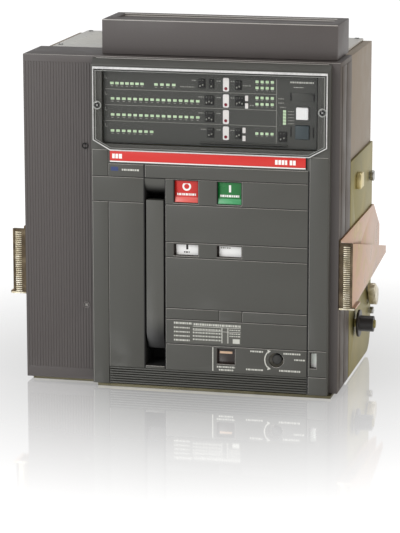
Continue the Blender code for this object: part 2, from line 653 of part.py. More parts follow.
def push_button(name, span_x, span_z, depth, stem, surface):
    """A rectangular cap, sunk in its opening, with a flange behind the cover's wall and a round stem."""
    face = COVER_FACE + BUTTON_SUNK
    origin = (sum(span_x) / 2, face, sum(span_z) / 2)
    cap = block(span_x, (face, COVER_FACE + depth), span_z, name, surface, origin)
    flange_y = (COVER_INSIDE + GAP, COVER_INSIDE + GAP + 0.002)
    flange = block(grown(span_x, FLANGE), flange_y, grown(span_z, FLANGE))
    rear = COVER_FACE + depth
    pin = rod("Y", (origin[0], origin[2]), (rear - 0.001, rear + stem), STEM_RADIUS, sides=16)
    return join(cap, flange, pin)


def flag(name, span_x, window_z, travel, surface):
    """A thin flag behind a window. It slides up, and is tall enough to fill the window all the way."""
    y = (COVER_INSIDE + FLAG_BEHIND, COVER_INSIDE + FLAG_BEHIND + FLAG_THICK)
    z = (window_z[0] - FLAG_MARGIN - travel, window_z[1] + FLAG_MARGIN)
    origin = (sum(span_x) / 2, y[0], sum(window_z) / 2)
    return block(grown(span_x, 0.002), y, z, name, surface, origin)


def charging_lever():
    """A long pull lever in the cover's pocket, with the axle that it turns on."""
    front = COVER_FACE
    rear = front + LEVER_THICK
    y0 = LEVER_PIVOT_DEPTH
    z0 = LEVER_PIVOT_HEIGHT
    outline = [
        (front, LEVER_TOP), (rear, LEVER_TOP), (rear, z0 + 0.028), (y0 + LEVER_HUB * 0.6, z0 + LEVER_HUB * 0.75),
        (y0, z0 - LEVER_HUB * 0.9), (front + 0.007, z0 - 0.006), (front, z0 + 0.014),
    ]
    x = around(LEVER_MIDDLE, LEVER_WIDTH / 2)
    lever = plate("X", outline, x, "charging_lever", COVER_GREY, LEVER_PIVOT)
    hub = rod("X", (y0, z0), grown(x, -0.001), LEVER_HUB)
    return join(lever, hub, rod("X", (y0, z0), LEVER_AXLE_SPAN, LEVER_AXLE))


def pole_case():
    """The insulating case: one cell for each pole, open at the top for the arc chutes."""
    y = (CASE_FRONT, BODY_DEPTH)
    case = block(around(0, CASE_HALF), y, (CASE_BOTTOM, CASE_TOP), "pole_case", BEIGE_RESIN)
    cells = [
        block(around(x, CELL_WIDTH / 2), (CELL_FRONT, CELL_BACK), (CASE_BOTTOM + CASE_WALL, CASE_TOP + 0.01))
        for x in POLE_XS
    ]
    shaft_span = around(0, CASE_HALF - 0.004)
    shaft_bore = rod("X", (POLE_SHAFT_Y, POLE_SHAFT_Z), shaft_span, POLE_SHAFT_RADIUS + PLAY)
    terminals = [
        block(
            around(x, TERMINAL_WIDTH / 2 + PLAY), (CELL_BACK - 0.005, BODY_DEPTH + 0.01),
            around(z, TERMINAL_THICK / 2 + PLAY),
        )
        for x in POLE_XS
        for z in TERMINAL_ZS.values()
    ]
    lever_slot = block(
        SLOT_X, (CASE_FRONT - 0.01, CELL_FRONT + 0.005), (POLE_SHAFT_Z - 0.040, POLE_SHAFT_Z + 0.012)
    )
    return cut(case, *cells, shaft_bore, *terminals, lever_slot)


def arc_chute(name, x):
    """An arc chute: a body that fills the top of its cell and a flange that closes the cell."""
    flange_y = (CASE_FRONT + 0.001, BODY_DEPTH - 0.001)
    flange_x = around(x, POLE_PITCH / 2 - PLAY)
    top = block(flange_x, flange_y, (CASE_TOP + GAP, BODY_HEIGHT), name, WHITE_PLASTIC)
    body_y = (CELL_FRONT + 0.001, CELL_BACK - 0.001)
    return join(top, block(around(x, CELL_WIDTH / 2 - 0.001), body_y, (CHUTE_BOTTOM, CASE_TOP + 0.001)))


def terminal(name, x, z, front):
    """A copper terminal bar with a jaw that grips the blade of the fixed part."""
    bar = block(around(x, TERMINAL_WIDTH / 2), (front, JAW_FRONT + 0.004), around(z, TERMINAL_THICK / 2), name, COPPER)
    jaw = block(around(x, TERMINAL_WIDTH / 2 - 0.003), (JAW_FRONT, JAW_BACK), around(z, JAW_HALF_HEIGHT))
    slot = block(around(x, TERMINAL_WIDTH), (JAW_BACK - JAW_SLOT_DEPTH, JAW_BACK + 0.01), around(z, JAW_SLOT / 2))
    return cut(join(bar, jaw), slot)


def current_sensor(name, x):
    """A current sensor around the lower terminal, inside the cell."""
    back = BODY_DEPTH - SENSOR_FROM_BACK
    y = (back - SENSOR_THICK, back)
    side = TERMINAL_WIDTH / 2 + PLAY
    body = block(around(x, side + SENSOR_WALL), y, around(LOWER_TERMINAL, SENSOR_RISE), name, DARK_PLASTIC)
    return cut(body, block(around(x, side), grown(y, 0.01), around(LOWER_TERMINAL, TERMINAL_THICK / 2 + PLAY)))


def pole_shaft():
    """The shaft that all four contact arms sit on, with its drive lever."""
    origin = (0, POLE_SHAFT_Y, POLE_SHAFT_Z)
    at = (POLE_SHAFT_Y, POLE_SHAFT_Z)
    span = around(0, CASE_HALF - 0.006)
    shaft = rod("X", at, span, POLE_SHAFT_RADIUS, "pole_shaft", STEEL, origin)
    tip_y = POLE_SHAFT_Y - SHAFT_LEVER_LENGTH
    outline = [
        (POLE_SHAFT_Y, POLE_SHAFT_Z + 0.012), (POLE_SHAFT_Y + 0.010, POLE_SHAFT_Z - 0.006),
        (tip_y, POLE_SHAFT_Z - 0.014), (tip_y, POLE_SHAFT_Z - 0.004),
    ]
    return join(shaft, plate("X", outline, around(SHAFT_LEVER_X, SHAFT_LEVER_THICK / 2)))


def contact_arm(name, x):
    """A moving contact arm, clamped on the pole shaft and resting against the upper terminal when closed."""
    origin = (x, POLE_SHAFT_Y, POLE_SHAFT_Z)
    tip_y = POLE_SHAFT_Y + ARM_REACH_Y
    tip_z = POLE_SHAFT_Z + ARM_REACH_Z
    outline = [
        (POLE_SHAFT_Y - 0.011, POLE_SHAFT_Z + 0.006), (tip_y - ARM_TIP_DEPTH, tip_z + ARM_TIP),
        (tip_y, tip_z + ARM_TIP), (tip_y, tip_z - ARM_TIP), (POLE_SHAFT_Y + 0.013, POLE_SHAFT_Z - 0.003),
    ]
    arm = plate("X", outline, around(x, ARM_WIDTH / 2), name, COPPER, origin)
    at = (POLE_SHAFT_Y, POLE_SHAFT_Z)
    collar = rod("X", at, around(x, ARM_WIDTH / 2 - 0.001), ARM_COLLAR)
    return cut(join(arm, collar), rod("X", at, around(x, ARM_WIDTH), POLE_SHAFT_RADIUS + GAP))


def mechanism_frame():
    """The steel frame of the spring mechanism, open to the front, with the camshaft's two bearings."""
    x = (COVER_LEFT + MECHANISM_LEFT, COVER_RIGHT - MECHANISM_RIGHT)
    y = (MECHANISM_FRONT, MECHANISM_BACK)
    frame = block(x, y, (MECHANISM_BOTTOM, MECHANISM_TOP), "mechanism_frame", YELLOW_ZINC)
    inner = block(grown(x, -WALL), (y[0] - 0.01, y[1] - WALL), (MECHANISM_BOTTOM - 0.01, MECHANISM_TOP + 0.01))
    bores = rod("X", (CAMSHAFT_Y, CAMSHAFT_HEIGHT), grown(x, 0.01), CAMSHAFT_RADIUS + PLAY)
    return cut(frame, inner, bores)


def charging_camshaft():
    """The shaft that the lever and the motor wind, with its ratchet wheel and two cams."""
    left = COVER_LEFT + MECHANISM_LEFT
    right = COVER_RIGHT - MECHANISM_RIGHT
    middle = (left + right) / 2
    at = (CAMSHAFT_Y, CAMSHAFT_HEIGHT)
    origin = (middle, CAMSHAFT_Y, CAMSHAFT_HEIGHT)
    shaft = rod("X", at, (left - 0.003, right + 0.001), CAMSHAFT_RADIUS, "charging_camshaft", STEEL, origin)
    ratchet = rod("X", at, (left + 0.012, left + 0.018), CAMSHAFT_CAM, sides=16)
    cams = [rod("X", at, around(middle + offset, 0.005), CAMSHAFT_CAM - 0.001, sides=16) for offset in (-0.02, 0.02)]
    return join(shaft, ratchet, *cams)


def closing_spring():
    """The outer shape of the closing spring, a tube that stands behind the closing button."""
    at = (COVER_RIGHT - MECHANISM_RIGHT - 0.022, CAMSHAFT_Y - 0.001)
    span = (CAMSHAFT_HEIGHT + 0.020, MECHANISM_TOP - 0.010)
    spring = rod("Z", at, span, SPRING_RADIUS, "closing_spring", STEEL)
    return cut(spring, rod("Z", at, grown(span, 0.01), SPRING_BORE, sides=12))


def charging_motor():
    """The geared motor beside the mechanism."""
    left = COVER_RIGHT - MECHANISM_RIGHT + 0.004
    gearbox = block(
        (left, left + 0.020), (MECHANISM_FRONT - 0.010, MECHANISM_BACK - 0.004),
        around(CAMSHAFT_HEIGHT, 0.026), "charging_motor", DARK_PLASTIC,
    )
    body = rod("X", (MECHANISM_FRONT + 0.008, CAMSHAFT_HEIGHT), (left + 0.018, left + MOTOR_LENGTH), MOTOR_RADIUS)
    return join(gearbox, body)


def release_coil(name, span_x):
    """A coil with its plunger, under the stem of its push button."""
    middle = sum(span_x) / 2
    top = BUTTON_SPAN_Z[0] - RELEASE_DROP / 2
    y = (0.011, 0.011 + RELEASE_SIZE)
    z = (top - RELEASE_SIZE, top)
    coil = block(around(middle, RELEASE_SIZE / 2), y, z, name, DARK_PLASTIC)
    return join(coil, rod("Z", (middle, sum(y) / 2), (top - 0.002, top + 0.006), 0.003, sides=12))


def auxiliary_contacts():
    x = (-HALF_WIDTH + 0.013, COVER_LEFT - 0.014)
    return block(x, (0.018, CASING_DEPTH - 0.010), around(BODY_HEIGHT / 2, 0.040), "auxiliary_contacts", DARK_PLASTIC)


def sliding_contact_block():
    """The hollow terminal block on top, with a long shallow recess in its upper face."""
    x = (COVER_LEFT + BLOCK_LEFT, HALF_WIDTH - BLOCK_RIGHT)
    y = (BLOCK_FRONT, CASING_DEPTH + BLOCK_BEHIND_CASING)
    z = (BODY_HEIGHT + GAP, BODY_HEIGHT + BLOCK_HEIGHT)
    body = block(x, y, z, "sliding_contact_block", DARK_PLASTIC)
    hollow = block(grown(x, -WALL), grown(y, -WALL), (z[0] - 0.01, z[1] - BLOCK_RECESS - WALL))
    recess = block(grown(x, -0.012), (y[0] + 0.024, y[1] - 0.012), (z[1] - BLOCK_RECESS, z[1] + 0.01))
    return cut(body, hollow, recess)


def racking_screw():
    """The screw that the crank turns: a square socket in front, a long shaft and a worm at the back."""
    at = (CRANK_X, CRANK_HEIGHT)
    front = COVER_FACE + 0.004
    origin = (CRANK_X, front, CRANK_HEIGHT)
    worm = around(RACKING_SHAFT_Y, 0.013)
    screw = rod("Y", at, (front, worm[0] + 0.002), RACKING_SCREW_RADIUS, "racking_screw", STEEL, origin)
    socket = block(
        around(CRANK_X, CRANK_SOCKET), (front - 0.01, front + CRANK_SOCKET_DEPTH), around(CRANK_HEIGHT, CRANK_SOCKET)
    )
    return cut(join(screw, rod("Y", at, worm, WORM_RADIUS)), socket)


def cam_outline():
    """A hub with a nose that points up and back, round at both ends."""
    def arc(radius, centre, start, stop, steps):
        turns = [math.radians(start + (stop - start) * i / steps) for i in range(steps + 1)]
        return [
            (RACKING_SHAFT_Y + centre[0] + radius * math.cos(a), RACKING_SHAFT_HEIGHT + centre[1] + radius * math.sin(a))
            for a in turns
        ]

    nose = 0.006
    reach = CAM_RADIUS - nose
    centre = (-reach * math.cos(math.radians(40)), reach * math.sin(math.radians(40)))
    return [*arc(CAM_HUB, (0, 0), -120, 40, 8), *arc(nose, centre, 60, 220, 6)]


def racking_shaft():
    """The cross shaft under the poles, with the worm wheel and a cam outside each side plate."""
    at = (RACKING_SHAFT_Y, RACKING_SHAFT_HEIGHT)
    origin = (0, RACKING_SHAFT_Y, RACKING_SHAFT_HEIGHT)
    near = HALF_WIDTH + 0.002
    far = near + CAM_THICK
    shaft = rod("X", at, around(0, near + CAM_THICK / 2), RACKING_SHAFT_RADIUS, "racking_shaft", YELLOW_ZINC, origin)
    wheel = rod("X", at, around(CRANK_X, 0.006), RACKING_GEAR)
    cams = [plate("X", cam_outline(), sorted((side * near, side * far))) for side in (-1, 1)]
    return join(shaft, wheel, *cams)


def build():
    base_plate()
    front_casing()
    front_cover()
    lower_grille()
    colour_strip()
    trip_unit()
    test_button()
    rating_plug()
    trip_cover()
    for side_name, x in TRIP_SCREW_XS.items():
        trip_cover_screw(f"trip_cover_screw_{side_name}", x)
    for place, z in CASING_SCREW_ZS.items():
        casing_screw(f"casing_screw_{place}", z)
    for side_name, side in (("left", -1), ("right", 1)):
        side_plate(f"side_plate_{side_name}", side)
        side_roller(f"side_roller_{side_name}", side)
        support_bracket(f"support_bracket_{side_name}", side)
        bracket_bolt(f"bracket_bolt_{side_name}", side)
    sliding_contact_block()
    pole_case()
    for number, x in enumerate(POLE_XS, start=1):
        arc_chute(f"arc_chute_{number}", x)
        terminal(f"upper_terminal_{number}", x, UPPER_TERMINAL, CONTACT_FACE)
        terminal(f"lower_terminal_{number}", x, LOWER_TERMINAL, BODY_DEPTH - LOWER_TERMINAL_FRONT)
        current_sensor(f"current_sensor_{number}", x)
        contact_arm(f"contact_arm_{number}", x)
    pole_shaft()
    mechanism_frame()
    charging_camshaft()
    closing_spring()
    charging_motor()
    release_coil("opening_release", OFF_SPAN_X)
    release_coil("closing_release", ON_SPAN_X)
    auxiliary_contacts()
    charging_lever()
    push_button("off_button", OFF_SPAN_X, BUTTON_SPAN_Z, 0.009, STEM_LENGTH, RED_PLASTIC)
    push_button("on_button", ON_SPAN_X, BUTTON_SPAN_Z, 0.009, STEM_LENGTH, GREEN_PLASTIC)
    push_button("racking_lock", LOCK_SPAN_X, LOCK_SPAN_Z, 0.008, 0.010, WHITE_PLASTIC)
    flag("contact_flag", OFF_SPAN_X, WINDOW_SPAN_Z, FLAG_TRAVEL, WHITE_PLASTIC)
    flag("spring_flag", ON_SPAN_X, WINDOW_SPAN_Z, FLAG_TRAVEL, WHITE_PLASTIC)
    flag("racking_flag", RACKING_WINDOW_X, RACKING_WINDOW_Z, RACKING_FLAG_TRAVEL, WHITE_PLASTIC)
    racking_screw()
    racking_shaft()


build()
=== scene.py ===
"""Looks of a withdrawable four-pole air circuit breaker."""

import json
import math

import bmesh
import bpy
from mathutils import Matrix, Vector

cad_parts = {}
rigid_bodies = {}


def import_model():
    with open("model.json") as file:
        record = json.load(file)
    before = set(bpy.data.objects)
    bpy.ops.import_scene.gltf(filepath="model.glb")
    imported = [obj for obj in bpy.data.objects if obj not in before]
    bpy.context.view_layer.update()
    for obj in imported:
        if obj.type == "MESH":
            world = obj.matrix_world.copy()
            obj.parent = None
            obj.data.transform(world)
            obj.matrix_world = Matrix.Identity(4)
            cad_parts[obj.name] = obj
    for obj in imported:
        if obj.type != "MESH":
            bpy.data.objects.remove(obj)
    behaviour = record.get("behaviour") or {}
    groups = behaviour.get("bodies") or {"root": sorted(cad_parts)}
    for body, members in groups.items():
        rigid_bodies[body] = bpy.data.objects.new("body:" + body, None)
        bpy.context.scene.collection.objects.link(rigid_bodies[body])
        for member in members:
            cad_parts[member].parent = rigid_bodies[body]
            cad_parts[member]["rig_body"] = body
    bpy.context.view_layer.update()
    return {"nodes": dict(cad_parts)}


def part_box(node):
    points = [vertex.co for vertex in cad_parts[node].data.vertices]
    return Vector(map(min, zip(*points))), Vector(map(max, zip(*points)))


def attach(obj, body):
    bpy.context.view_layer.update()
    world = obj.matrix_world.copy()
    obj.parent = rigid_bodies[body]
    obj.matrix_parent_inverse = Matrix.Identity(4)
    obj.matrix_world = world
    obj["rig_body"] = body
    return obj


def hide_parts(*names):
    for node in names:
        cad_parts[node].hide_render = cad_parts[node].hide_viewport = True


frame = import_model()

# ---------------------------------------------------------------------------------------------
# Studio: a long lens a little above and to the right, a white cove, one big soft box on the
# left, a weaker one on the right and a strip overhead that draws the light along upper edges.
# ---------------------------------------------------------------------------------------------
MM = 0.001


def linear(hex_colour):
    """An sRGB hex colour as the linear RGBA that a shader takes."""
    shares = [int(hex_colour[i : i + 2], 16) / 255 for i in (1, 3, 5)]
    return (*(s / 12.92 if s <= 0.04045 else ((s + 0.055) / 1.055) ** 2.4 for s in shares), 1)


def add_node(tree, kind, settings=(), values=(), links=()):
    """One shader node with its settings, the values on its sockets and what feeds them."""
    node = tree.nodes.new("ShaderNode" + kind)
    for name, value in dict(settings).items():
        setattr(node, name, value)
    for name, value in dict(values).items():
        node.inputs[name].default_value = value
    for name, source in dict(links).items():
        tree.links.new(source, node.inputs[name])
    return node


def new_material(name):
    """An empty node material, and its tree."""
    made = bpy.data.materials.new(name)
    made.use_nodes = True
    made.node_tree.nodes.clear()
    return made, made.node_tree


scene = bpy.context.scene
scene.view_settings.view_transform = "Standard"

CAMERA_LENS = 173.76
CAMERA_PLACE = (0.70645, -3.07276, 0.80263)
CAMERA_DIP = 0.2126
CAMERA_TURN = 0.2281
camera_data = bpy.data.cameras.new("camera")
camera_data.lens = CAMERA_LENS
camera_data.sensor_width = 36
camera = bpy.data.objects.new("camera", camera_data)
camera.location = CAMERA_PLACE
camera.rotation_euler = (math.pi / 2 - CAMERA_DIP, 0, CAMERA_TURN)
scene.collection.objects.link(camera)
scene.camera = camera

sky = bpy.data.worlds.new("white_cove")
sky.use_nodes = True
sky.node_tree.nodes.clear()
ray = add_node(sky.node_tree, "LightPath")
way = add_node(sky.node_tree, "TexCoord")
height = add_node(sky.node_tree, "SeparateXYZ", (), (), {0: way.outputs["Generated"]})
wall = add_node(sky.node_tree, "MapRange", (), {"From Min": 0.0, "From Max": 1.0, "To Min": 0.62,
                "To Max": 0.22}, {"Value": height.outputs["Z"]})
seen = add_node(sky.node_tree, "Math", {"operation": "MAXIMUM"}, (),
                {0: wall.outputs[0]})
clean = add_node(sky.node_tree, "Math", {"operation": "MULTIPLY"}, {1: 1.3}, {0: ray.outputs["Is Camera Ray"]})
sky.node_tree.links.new(clean.outputs[0], seen.inputs[1])
cove = add_node(sky.node_tree, "Background", (), {"Color": (1, 1, 1, 1)}, {"Strength": seen.outputs[0]})
add_node(sky.node_tree, "OutputWorld", (), (), {"Surface": cove.outputs[0]})
scene.world = sky


def soft_box(name, place, target, width, height, power, colour="#FFFFFF"):
    """A rectangular studio light that faces its target."""
    light = bpy.data.lights.new(name, "AREA")
    light.shape = "RECTANGLE"
    light.size = width
    light.size_y = height
    light.energy = power
    light.color = linear(colour)[:3]
    made = bpy.data.objects.new(name, light)
    made.location = place
    made.rotation_euler = (Vector(target) - Vector(place)).to_track_quat("-Z", "Y").to_euler()
    scene.collection.objects.link(made)


BODY_MIDDLE = (0, 0, 0.2)
soft_box("key_box", (-1.7, -2.6, 1.7), BODY_MIDDLE, 1.8, 1.8, 50)
soft_box("fill_box", (2.4, -0.9, 1.2), BODY_MIDDLE, 1.2, 1.6, 13, "#FFE9CF")
soft_box("overhead_strip", (0.0, 0.7, 2.2), BODY_MIDDLE, 1.8, 0.7, 10)

floor_mesh = bmesh.new()
bmesh.ops.create_grid(floor_mesh, x_segments=1, y_segments=1, size=20)
floor_data = bpy.data.meshes.new("floor")
floor_mesh.to_mesh(floor_data)
floor_mesh.free()
floor = bpy.data.objects.new("floor", floor_data)
scene.collection.objects.link(floor)

# Gloss white acrylic, lit from below: a white body under a clear face that mirrors what stands on
# it. The mirror fades away from the object, where the face is dulled.
acrylic, tree = new_material("gloss_white_acrylic")
place = add_node(tree, "TexCoord")
away = add_node(tree, "VectorMath", {"operation": "LENGTH"}, (), {0: place.outputs["Object"]})
fade = add_node(tree, "MapRange", (), {"From Min": 0.16, "From Max": 0.70, "To Min": 0.70, "To Max": 0.0},
                {"Value": away.outputs["Value"]})
body = add_node(tree, "BsdfDiffuse", (), {"Color": linear("#8A8A8A")})
lit = add_node(tree, "Emission", (), {"Color": (1, 1, 1, 1), "Strength": 0.97})
glowing = add_node(tree, "AddShader", (), (), {0: body.outputs[0], 1: lit.outputs[0]})
face = add_node(tree, "BsdfGlossy", (), {"Color": (1, 1, 1, 1), "Roughness": 0.04})
mixed = add_node(tree, "MixShader", (), (),
                 {0: fade.outputs[0], 1: glowing.outputs[0], 2: face.outputs[0]})
add_node(tree, "OutputMaterial", (), (), {"Surface": mixed.outputs[0]})
floor_data.materials.append(acrylic)

# ---------------------------------------------------------------------------------------------
# Front casing: the wide moulded shell that carries everything, glass-filled polyester pressed in a
# spark-eroded mould. Its left half of the front is ribbed upright; the side has one flat panel.
# ---------------------------------------------------------------------------------------------
casing_low, casing_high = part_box("front_casing")
COVER_FACE = (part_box("front_cover")[0].y - casing_low.y) / MM


def at(x, y, z):
    """Millimetres from the middle of the casing's front plane and from its underside, as a point."""
    return Vector((x * MM, casing_low.y + y * MM, casing_low.z + z * MM))


def measure(node):
    """A CAD node's box in the same millimetres: ((x, x), (y, y), (z, z))."""
    low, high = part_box(node)
    origin = at(0, 0, 0)
    return tuple(((low[i] - origin[i]) / MM, (high[i] - origin[i]) / MM) for i in range(3))


def cuboid(mesh, x, y, z):
    """A cuboid between two values on each axis. Gives back its edges."""
    low, high = at(x[0], y[0], z[0]), at(x[1], y[1], z[1])
    stretch = Matrix.Translation((low + high) / 2) @ Matrix.Diagonal((*(high - low), 1))
    verts = bmesh.ops.create_cube(mesh, size=1, matrix=stretch)["verts"]
    return list({edge for vert in verts for edge in vert.link_edges})


def soften(mesh, edges, width, segments=2):
    """Rounds edges by a width in millimetres. Gives back the faces of the rounds."""
    return bmesh.ops.bevel(mesh, geom=edges, offset=width * MM, offset_type="OFFSET", segments=segments,
                           profile=0.5, affect="EDGES", clamp_overlap=True, material=-1)["faces"]


def sharp_edges(mesh, degrees=30):
    """The edges where two faces meet at more than an angle."""
    return [e for e in mesh.edges if len(e.link_faces) == 2 and e.calc_face_angle(0) > math.radians(degrees)]


def finish_piece(name, mesh, material, body="breaker_body", replaces=(), smooth=35):
    """Makes a bmesh an object of the model: smooth over its rounds, crisp at its corners."""
    bmesh.ops.recalc_face_normals(mesh, faces=mesh.faces)
    data = bpy.data.meshes.new(name)
    mesh.to_mesh(data)
    mesh.free()
    data.shade_smooth()
    data.set_sharp_from_angle(angle=math.radians(smooth))
    for each in material if isinstance(material, (list, tuple)) else [material]:
        data.materials.append(each)
    made = bpy.data.objects.new(name, data)
    scene.collection.objects.link(made)
    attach(made, body)
    if replaces:
        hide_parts(*replaces)
    return made


def copy_of(node):
    """A bmesh of a CAD node's shape, merged and with its flat faces made whole."""
    mesh = bmesh.new()
    mesh.from_mesh(frame["nodes"][node].data)
    bmesh.ops.remove_doubles(mesh, verts=mesh.verts, dist=1e-5)
    bmesh.ops.dissolve_limit(mesh, angle_limit=math.radians(1), verts=mesh.verts, edges=mesh.edges)
    return mesh


def body_of(node):
    """The name of the body that a CAD node rides on."""
    return frame["nodes"][node]["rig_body"]


def softened(node, name, material, width, segments=2):
    """Stands for a CAD node: the same shape with its mould or tool radius on every edge."""
    mesh = copy_of(node)
    soften(mesh, sharp_edges(mesh), width, segments)
    return finish_piece(name, mesh, material, body_of(node), [node])


def moulded(name, low, high, roughness, grain=1.1, relief=0.25, cloud=45):
    """A moulded plastic: flow clouds between two close colours, a spark-eroded grain as relief, and
    patches where handling has polished it. grain and cloud are in millimetres."""
    made, tree = new_material(name)
    place = add_node(tree, "TexCoord")
    flow = add_node(tree, "TexNoise", (), {"Scale": 1000 / cloud, "Detail": 4, "Distortion": 0.6},
                    {"Vector": place.outputs["Object"]})
    speck = add_node(tree, "TexNoise", (), {"Scale": 1000 / grain, "Detail": 2},
                     {"Vector": place.outputs["Object"]})
    both = add_node(tree, "MixRGB", (), {"Fac": 0.45},
                    {"Color1": flow.outputs["Fac"], "Color2": speck.outputs["Fac"]})
    tone = add_node(tree, "MixRGB", (), {"Color1": linear(low), "Color2": linear(high)},
                    {"Fac": both.outputs[0]})
    polish = add_node(tree, "MapRange", (), {"From Min": 0.3, "From Max": 0.7, "To Min": roughness - 0.06,
                      "To Max": roughness + 0.08}, {"Value": flow.outputs["Fac"]})
    raised = add_node(tree, "Bump", (), {"Strength": relief, "Distance": 0.00012},
                      {"Height": speck.outputs["Fac"]})
    shader = add_node(tree, "BsdfPrincipled", (), {"IOR": 1.5},
                      {"Base Color": tone.outputs[0], "Roughness": polish.outputs[0], "Normal": raised.outputs[0]})
    add_node(tree, "OutputMaterial", (), (), {"Surface": shader.outputs[0]})
    return made


# Glass-filled polyester: dark warm grey, satin, with a fine even grain.
polyester_casing = moulded("glass_filled_polyester_warm", "#4B4644", "#565150", 0.5)
# The same resin a shade lighter and smoother, for edges and small parts that face the light: painted highlight.
painted_highlight_edge = moulded("polyester_painted_edge_highlight", "#A5A29D", "#C2BFB9", 0.3)

mesh = copy_of("front_casing")
rounds = soften(mesh, sharp_edges(mesh), 0.9, 2)
# The rounds along the casing's top front edge take the lighter resin: painted highlight.
front_edge = [f for f in rounds if f.is_valid and f.calc_center_median().z > casing_high.z - 2 * MM
              and f.calc_center_median().y < casing_low.y + 2 * MM]
for round_face in front_edge:
    round_face.material_index = 1
# Faces on the right side take the darker, browner copy of the resin: painted shade.
for f in mesh.faces:
    if f.normal.x > 0.9 and f.calc_center_median().x > 0.1:
        f.material_index = 2
# The same resin darker and browner on the sides that face the mounting brackets: painted shade, tinted like the warm
# light there.
painted_shade_side_polyester = moulded("glass_filled_polyester_painted_side_shade", "#3F352B", "#4B4035", 0.5)
finish_piece("front_casing_shell", mesh, [polyester_casing, painted_highlight_edge, painted_shade_side_polyester],
             replaces=["front_casing"])

RIB_PITCH = 3.45
RIB_WIDTH = 1.9
RIBS_FROM, RIBS_TO = -191.5, -107.5
mesh = bmesh.new()
rib_x = RIBS_FROM
while rib_x < RIBS_TO:
    edges = cuboid(mesh, (rib_x, rib_x + RIB_WIDTH), (-0.45, 0.4), (13.5, 389.5))
    front = [e for e in edges if all(v.co.y < casing_low.y for v in e.verts)]
    soften(mesh, front, 0.4, 2)
    rib_x += RIB_PITCH
finish_piece("casing_ribs", mesh, polyester_casing)

# Side panels in the darker, browner copy of the resin: painted shade.
mesh = bmesh.new()
for x in ((193.0, 193.5), (-193.5, -193.0)):
    edges = cuboid(mesh, x, (13, 40), (3, 392)) + cuboid(mesh, x, (42.5, 74), (3, 392))
    soften(mesh, edges, 0.2, 2)
finish_piece("casing_side_panels", mesh, painted_shade_side_polyester)


# ---------------------------------------------------------------------------------------------
# Front cover: a second moulding that stands 12 mm proud, cooler grey, divided into flat panels by
# fine grooves, with black shadow gaps where the removable parts meet.
# ---------------------------------------------------------------------------------------------
cover_x, _, cover_z = measure("front_cover")
off_x, _, button_z = measure("off_button")
on_x = measure("on_button")[0]
lock_x, _, lock_z = measure("racking_lock")
FLANGE = 2.0
OPEN = 0.5
off_hole = (off_x[0] + FLANGE - OPEN, off_x[1] - FLANGE + OPEN)
on_hole = (on_x[0] + FLANGE - OPEN, on_x[1] - FLANGE + OPEN)
button_hole = (button_z[0] + FLANGE - OPEN, button_z[1] - FLANGE + OPEN)
lock_hole = (lock_x[0] + FLANGE - OPEN, lock_x[1] - FLANGE + OPEN)
lock_hole_z = (lock_z[0] + FLANGE - OPEN, lock_z[1] - FLANGE + OPEN)
WINDOW_Z = (162.5, 177.0)
POCKET_X = (-40.3, -15.4)
POCKET_Z = (25.4, 254.6)
CRANK = (121.1, 40.5)
PILLAR_WINDOW = ((162.1, 170.1), (32.6, 51.8))
RIGHT_SEAM = 158.9
LEFT_SEAM = -85.0
PANEL_PROUD = 0.6

# The same kind of resin in a cooler grey, and the near black of a joint that no light reaches.
polyester_cover = moulded("glass_filled_polyester_cool", "#43433F", "#4D4D48", 0.46)
shadow_gap = moulded("unlit_gap_black", "#070707", "#0D0D0C", 0.8)


def facing(x, y, z):
    """The place and turn that stand a flat shape up to face the front."""
    return Matrix.Translation(at(x, y, z)) @ Matrix.Rotation(math.pi / 2, 4, "X")


def loop(mesh, x, z, y, sides=4):
    """A closed ring of edges facing the front: four-sided, or round where sides is larger."""
    radius = math.sqrt(0.5) if sides == 4 else 0.5
    spin = Matrix.Rotation(math.pi / 4 if sides == 4 else 0, 4, "Z")
    size = Matrix.Diagonal(((x[1] - x[0]) * MM, (z[1] - z[0]) * MM, 1, 1))
    stand = facing((x[0] + x[1]) / 2, y, (z[0] + z[1]) / 2)
    bmesh.ops.create_circle(mesh, cap_ends=False, radius=radius, segments=sides, matrix=stand @ size @ spin)


def thicken(mesh, back, up=0):
    """Gives every face of a sheet a depth, backwards and up, in millimetres."""
    grown = bmesh.ops.extrude_face_region(mesh, geom=mesh.faces[:])["geom"]
    moved = [v for v in grown if isinstance(v, bmesh.types.BMVert)]
    bmesh.ops.translate(mesh, verts=moved, vec=(0, back * MM, up * MM))


def add_raised(mesh, sheet, front, back, width, segments):
    """Makes a flat sheet a plate with a softened front rim, and adds it to a mesh."""
    thicken(sheet, back - front)
    bmesh.ops.recalc_face_normals(sheet, faces=sheet.faces)
    lip = [e for e in sharp_edges(sheet) if all(v.co.y < at(0, front, 0).y + 1e-6 for v in e.verts)]
    soften(sheet, lip, width, segments)
    data = bpy.data.meshes.new("sheet")
    sheet.to_mesh(data)
    sheet.free()
    mesh.from_mesh(data)
    bpy.data.meshes.remove(data)


def slab(mesh, x, z, holes=(), front=COVER_FACE - PANEL_PROUD, back=COVER_FACE + 0.1, width=0.35):
    """A flat panel with openings, its front rim softened."""
    sheet = bmesh.new()
    loop(sheet, x, z, front)
    for hole in holes:
        loop(sheet, hole[0], hole[1], front, *hole[2:])
    bmesh.ops.triangle_fill(sheet, use_beauty=True, edges=sheet.edges, normal=(0, -1, 0))
    add_raised(mesh, sheet, front, back, width, 2)


GROOVE = 0.4
mesh = bmesh.new()


def panel(x0, x1, z0, z1, *holes):
    slab(mesh, (x0 + GROOVE, x1 - GROOVE), (z0 + GROOVE, z1 - GROOVE), holes)


left, right = cover_x[0] + 0.6, cover_x[1] - 0.6
